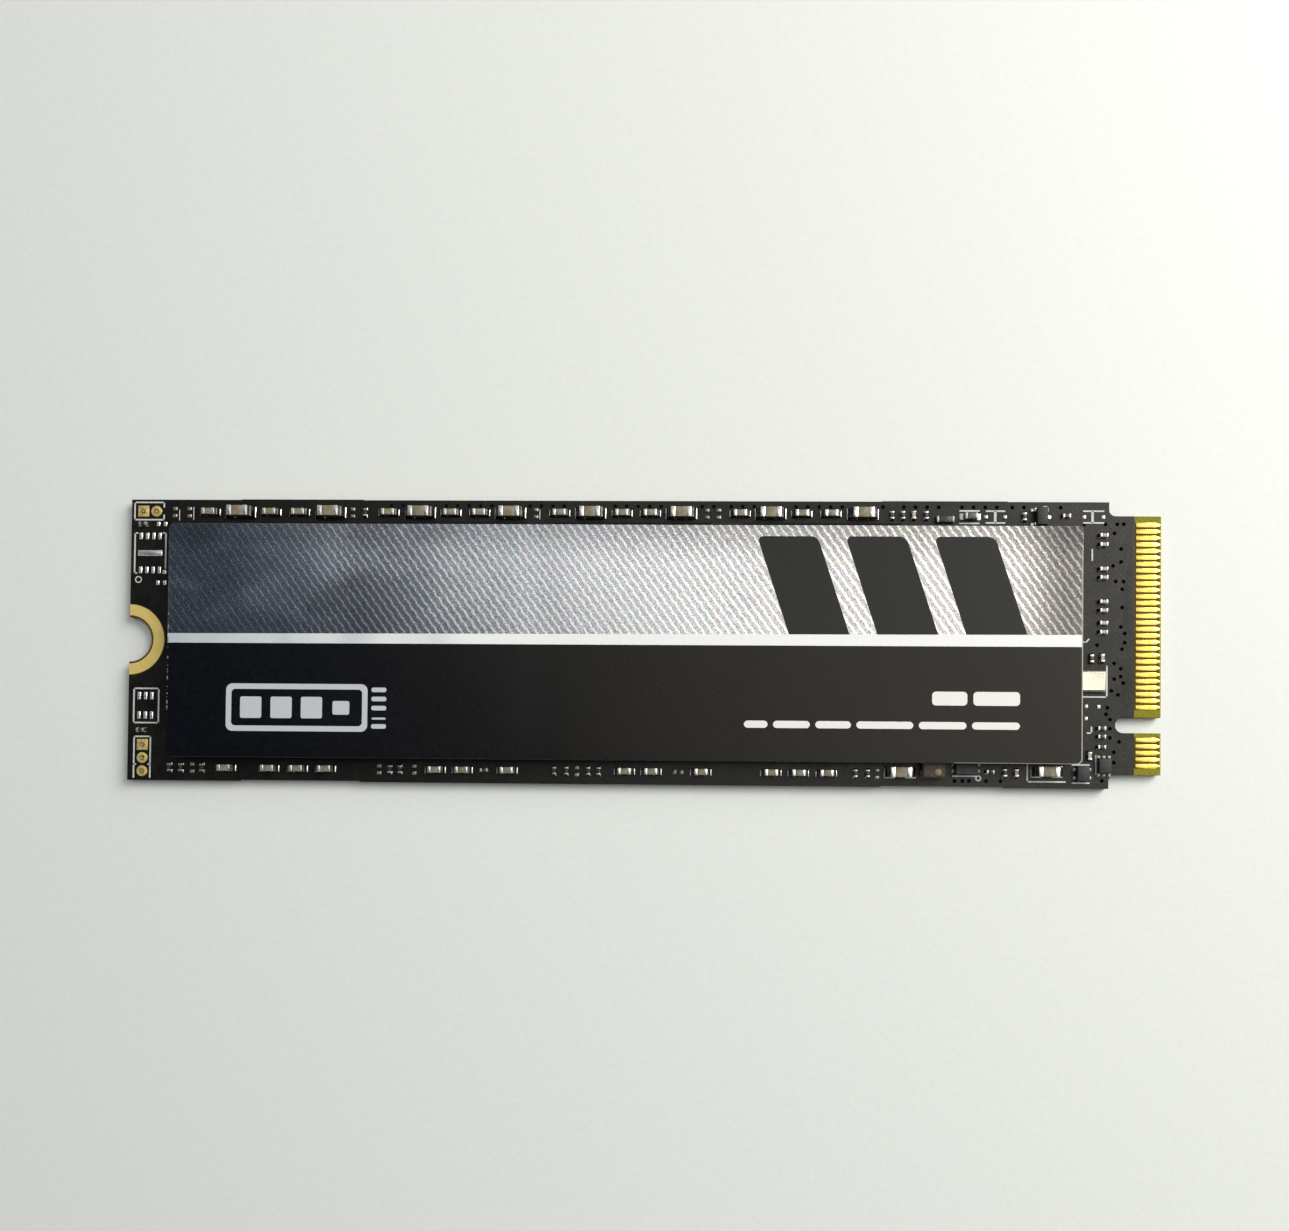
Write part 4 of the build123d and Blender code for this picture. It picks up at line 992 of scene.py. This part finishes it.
# Painted reflection: the foil's colour rises towards the left end and falls dark at the right end and along
# the top edge, standing in for how bright its reflection falls.
painted_reflection = calc(tree, "MULTIPLY", fade(tree, x, *PAINTED_REFLECTION_LEFT), fade(tree, x, *PAINTED_REFLECTION_RIGHT))
painted_reflection = calc(tree, "MULTIPLY", painted_reflection, fade(tree, y, *PAINTED_REFLECTION_TOP))
# Dark clouds on the left half of the foil: painted reflection, dimming it where it mirrors the shade.
dark_reflection = cloud(tree, stretch(tree, place, REFLECTION_CLOUD_SHAPE, REFLECTION_CLOUD_TURN), REFLECTION_CLOUDS_PER_MM, 2.0)
dark_reflection = fade(tree, dark_reflection, *REFLECTION_CLOUD_EDGE)
dark_reflection = calc(tree, "MULTIPLY", dark_reflection, fade(tree, x, *REFLECTION_CLOUDS))
painted_reflection = calc(tree, "MULTIPLY", painted_reflection, calc(tree, "SUBTRACT", 1.0, dark_reflection))
# The hatch fades to 0.3 of its strength towards the left end: painted shade on the print where the foil lies
# in shade.
seen = calc(tree, "MULTIPLY", hatch, fade(tree, x, *FAINT_SPAN, *HATCH_IN_PAINTED_SHADE))
across = fade(tree, x, left, right)
# From left to right the foil goes from cool to warm: painted reflection of the cool shade on the left and the
# warm light on the right.
reflection_tint = blend(tree, across, FOIL_COOL_REFLECTION, FOIL_WARM_REFLECTION)
lined = vector(tree, "MULTIPLY", blend(tree, seen, FOIL_GAP, FOIL_LINE), reflection_tint)
foil = vector(tree, "MULTIPLY", lined, vector(tree, "MULTIPLY", glint, painted_reflection))
slanted = vector(tree, "ADD", place, vector(tree, "MULTIPLY", (BAR_SLANT, 0.0, 0.0), y))
bars = print_boxes(tree, slanted, BARS, BAR_CORNER)
upper = blend(tree, bars, foil, BAR_DARK)
card = calc(tree, "SUBTRACT", print_boxes(tree, place, (CARD_OUTER,), BAR_CORNER),
            print_boxes(tree, place, (CARD_INNER,), BAR_TIP))
card = calc(tree, "MAXIMUM", card, print_boxes(tree, place, CARD_CHIPS + CARD_TEETH, CHIP_CORNER))
# The black field is painted cool and nearly black at the left, and warmer and lighter at the right: painted
# shade and light along the label.
lower = blend(tree, card, blend(tree, across, BLACK_IN_SHADE, BLACK_IN_LIGHT), CARD_GREY)
lower = blend(tree, print_boxes(tree, place, TITLE_BARS + LINE_BARS, BAR_TIP), lower, PRINT_WHITE)
# The white rule is painted grey-blue at the left and white from the middle, with a cloudy change between:
# painted shade and reflection along the rule.
clouded = calc(tree, "MULTIPLY_ADD", cloud(tree, place, RULE_CLOUDS_PER_MM, 1.0), RULE_CLOUDS, x)
rule_painted_light = fade(tree, clouded, left + RULE_CLOUDS / 2, RULE_BRIGHT_FROM + RULE_CLOUDS / 2)
rule = blend(tree, rule_painted_light, RULE_PAINTED_SHADE, RULE_WHITE)
printed = blend(tree, below, blend(tree, above, rule, upper), lower)
whole = (left - OVERRUN, base - OVERRUN), (BASE_MARGIN_START, top + OVERRUN)
trimmed = (left - OVERRUN, base + BASE_MARGIN), (right - RIGHT_MARGIN, top + OVERRUN)
inner = print_boxes(tree, place, (whole, trimmed), MARGIN_CORNER)
margin = calc(tree, "MULTIPLY", calc(tree, "SUBTRACT", 1.0, inner), calc(tree, "LESS_THAN", y, MARGIN_TOP))
teeth = cloud(tree, stretch(tree, place, (0.0, 1.0, 0.0)), 1 / CUT_PITCH)
teeth = fade(tree, teeth, *CUT_SHARE)
teeth = calc(tree, "MULTIPLY", teeth, calc(tree, "LESS_THAN", x, left + CUT_DEPTH))
cut_end = (left - OVERRUN, CUT_SPAN[0]), (left + OVERRUN, CUT_SPAN[1])
teeth = calc(tree, "MULTIPLY", teeth, print_boxes(tree, place, (cut_end,), CUT_DEPTH))
uncoated = calc(tree, "MAXIMUM", margin, teeth)
put(tree, blend(tree, uncoated, printed, blend(tree, teeth, PAPER, PAPER_SHADE)), shader.inputs["Base Color"])
bare_foil = calc(tree, "MULTIPLY", above, calc(tree, "SUBTRACT", 1.0, calc(tree, "MAXIMUM", bars, uncoated)))
put(tree, bare_foil, shader.inputs["Metallic"])
inked = fade(tree, cloud(tree, place, INK_GRAIN_PER_MM), *INK_SPAN, *INK_ROUGH)
polish = fade(tree, x, *FAINT_SPAN, *FOIL_ROUGH)
polish = calc(tree, "MULTIPLY_ADD", seen, LINE_ROUGHER, polish)
gloss = tree.nodes.new("ShaderNodeMix")
put(tree, bare_foil, gloss.inputs[0])
put(tree, inked, gloss.inputs[2])
put(tree, polish, gloss.inputs[3])
put(tree, gloss.outputs[0], shader.inputs["Roughness"])
put(tree, INK_SHEEN, shader.inputs["Specular IOR Level"])
emboss(tree, shader, calc(tree, "MULTIPLY_ADD", seen, LINE_HEIGHT, speck), FOIL_GRAIN)

# The label's cut side faces are coloured dark grey: painted shade.
shaded_label_edge = mottled("label_edge_painted_shade", (0.1, 0.095, 0.085), (0.2, 0.19, 0.17), grain=6.0, roughness=(0.6, 0.8),
                    depth=0.004)
seat(label, "label_foil", print_finish, "label")
label.data.materials.append(shaded_label_edge)
for face in label.data.polygons:
    face.material_index = 0 if face.normal.z > PRINTED_SIDE else 1

# Floor
# A plain pale sheet that the card lies on. Far from the card, to the camera and to what mirrors it, it shows
# the flat tone of a pale wall in place of its own.
FLOOR_SIZE = 3.0
FLOOR_DROP = 0.02 * MM
FLOOR_PALE = (0.88, 0.9, 0.87)
FLOOR_SHADE = (0.86, 0.885, 0.855)
WALL = (0.6, 0.61, 0.61)
WALL_FROM = (130.0, 420.0)


def looked_at(tree):
    """1 for what the camera sees, straight or mirrored, and 0 for what only lights the card."""
    ray = tree.nodes.new("ShaderNodeLightPath").outputs
    mirrored = calc(tree, "MAXIMUM", ray["Is Glossy Ray"], ray["Is Transmission Ray"])
    return calc(tree, "MAXIMUM", ray["Is Camera Ray"], mirrored)


bpy.ops.mesh.primitive_plane_add(size=FLOOR_SIZE, location=(0, 0, -FLOOR_DROP))
floor = bpy.context.object
floor.name = "floor"
pale_sheet = mottled("pale_sheet", FLOOR_SHADE, FLOOR_PALE, grain=2.0, roughness=(0.6, 0.75), depth=0.004)
tree = pale_sheet.node_tree
curved = fade(tree, vector(tree, "LENGTH", card_place(tree)), *WALL_FROM)
far_tone = tree.nodes.new("ShaderNodeEmission")
put(tree, (*WALL, 1.0), far_tone.inputs["Color"])
join = tree.nodes.new("ShaderNodeMixShader")
put(tree, calc(tree, "MULTIPLY", looked_at(tree), curved), join.inputs[0])
put(tree, tree.nodes["Principled BSDF"].outputs[0], join.inputs[1])
put(tree, far_tone.outputs[0], join.inputs[2])
put(tree, join.outputs[0], tree.nodes["Material Output"].inputs["Surface"])
floor.data.materials.append(pale_sheet)

# Light
# A soft box beyond the upper right gives the direction. The sky is a pale dome with a dim cool patch overhead
# on the near left, where the camera blocks its light. Low down all round, to the camera and to what mirrors
# it, the sky takes a pale wall's tone.
BOX_PLACE = Vector((240, 140, 205)) * MM
BOX_AIM = Vector((15, 0, 0)) * MM
BOX_SIZE = 230 * MM
BOX_WATTS = 1.25
BOX_COLOUR = (1.0, 0.98, 0.94)
SKY_BRIGHT = (1.6, 1.58, 1.5)
SKY_LOW = (0.06, 0.07, 0.085)
SKY_DIM = (0.05, 0.065, 0.09)
WALL_TOP = (0.42, 0.7)
DOME_FROM = (0.58, 0.92)
DIM_FROM = (0.55, 0.85)
OPENING = (-0.11, 0.1)
OPENING_TOP = (0.22, 0.38, 1.0, 0.35)

soft_box = bpy.data.lights.new("soft_box", "AREA")
soft_box.shape = "SQUARE"
soft_box.size = BOX_SIZE
soft_box.energy = BOX_WATTS
soft_box.color = BOX_COLOUR
lamp = bpy.data.objects.new("soft_box", soft_box)
lamp.location = BOX_PLACE
lamp.rotation_euler = (BOX_AIM - BOX_PLACE).to_track_quat("-Z", "Y").to_euler()
bpy.context.collection.objects.link(lamp)
sky = bpy.data.worlds.new("sky")
sky.use_nodes = True
tree = sky.node_tree
x, y, z = split(tree, tree.nodes.new("ShaderNodeTexCoord").outputs["Generated"])
opening = calc(tree, "MULTIPLY", fade(tree, calc(tree, "ADD", x, y), *OPENING), fade(tree, y, *OPENING_TOP))
shaded = calc(tree, "MULTIPLY", calc(tree, "SUBTRACT", 1.0, opening), fade(tree, z, *DIM_FROM))
wall = calc(tree, "MULTIPLY", looked_at(tree), fade(tree, z, *WALL_TOP, 1.0, 0.0))
dome = blend(tree, fade(tree, z, *DOME_FROM), blend(tree, wall, SKY_LOW, WALL), SKY_BRIGHT)
put(tree, blend(tree, shaded, dome, SKY_DIM), tree.nodes["Background"].inputs["Color"])
bpy.context.scene.world = sky
bpy.context.scene.view_settings.view_transform = "Standard"

# Camera
# It stands above the middle of the card, where the photograph was taken from.
IMAGE_WIDTH = 1289
IMAGE_HEIGHT = 1231
FOCAL_PIXELS = 1150.7
CENTRE_PIXEL = (690, 790)
SENSOR = 36.0
CAMERA_PLACE = Vector((6.38, -12.93, 89.52)) * MM
CAMERA_RIGHT = Vector((0.999604, 0.009918, -0.026344))
CAMERA_UP = Vector((-0.009456, 0.9998, 0.017606))
NEAR = 1 * MM

view = bpy.data.cameras.new("camera")
view.sensor_fit = "HORIZONTAL"
view.sensor_width = SENSOR
view.lens = SENSOR * FOCAL_PIXELS / IMAGE_WIDTH
view.shift_x = (IMAGE_WIDTH / 2 - CENTRE_PIXEL[0]) / IMAGE_WIDTH
view.shift_y = (CENTRE_PIXEL[1] - IMAGE_HEIGHT / 2) / IMAGE_WIDTH
view.clip_start = NEAR
camera = bpy.data.objects.new("camera", view)
turn = Matrix((CAMERA_RIGHT, CAMERA_UP, CAMERA_RIGHT.cross(CAMERA_UP))).transposed()
camera.matrix_world = Matrix.Translation(CAMERA_PLACE) @ turn.to_4x4()
bpy.context.collection.objects.link(camera)
bpy.context.scene.camera = camera
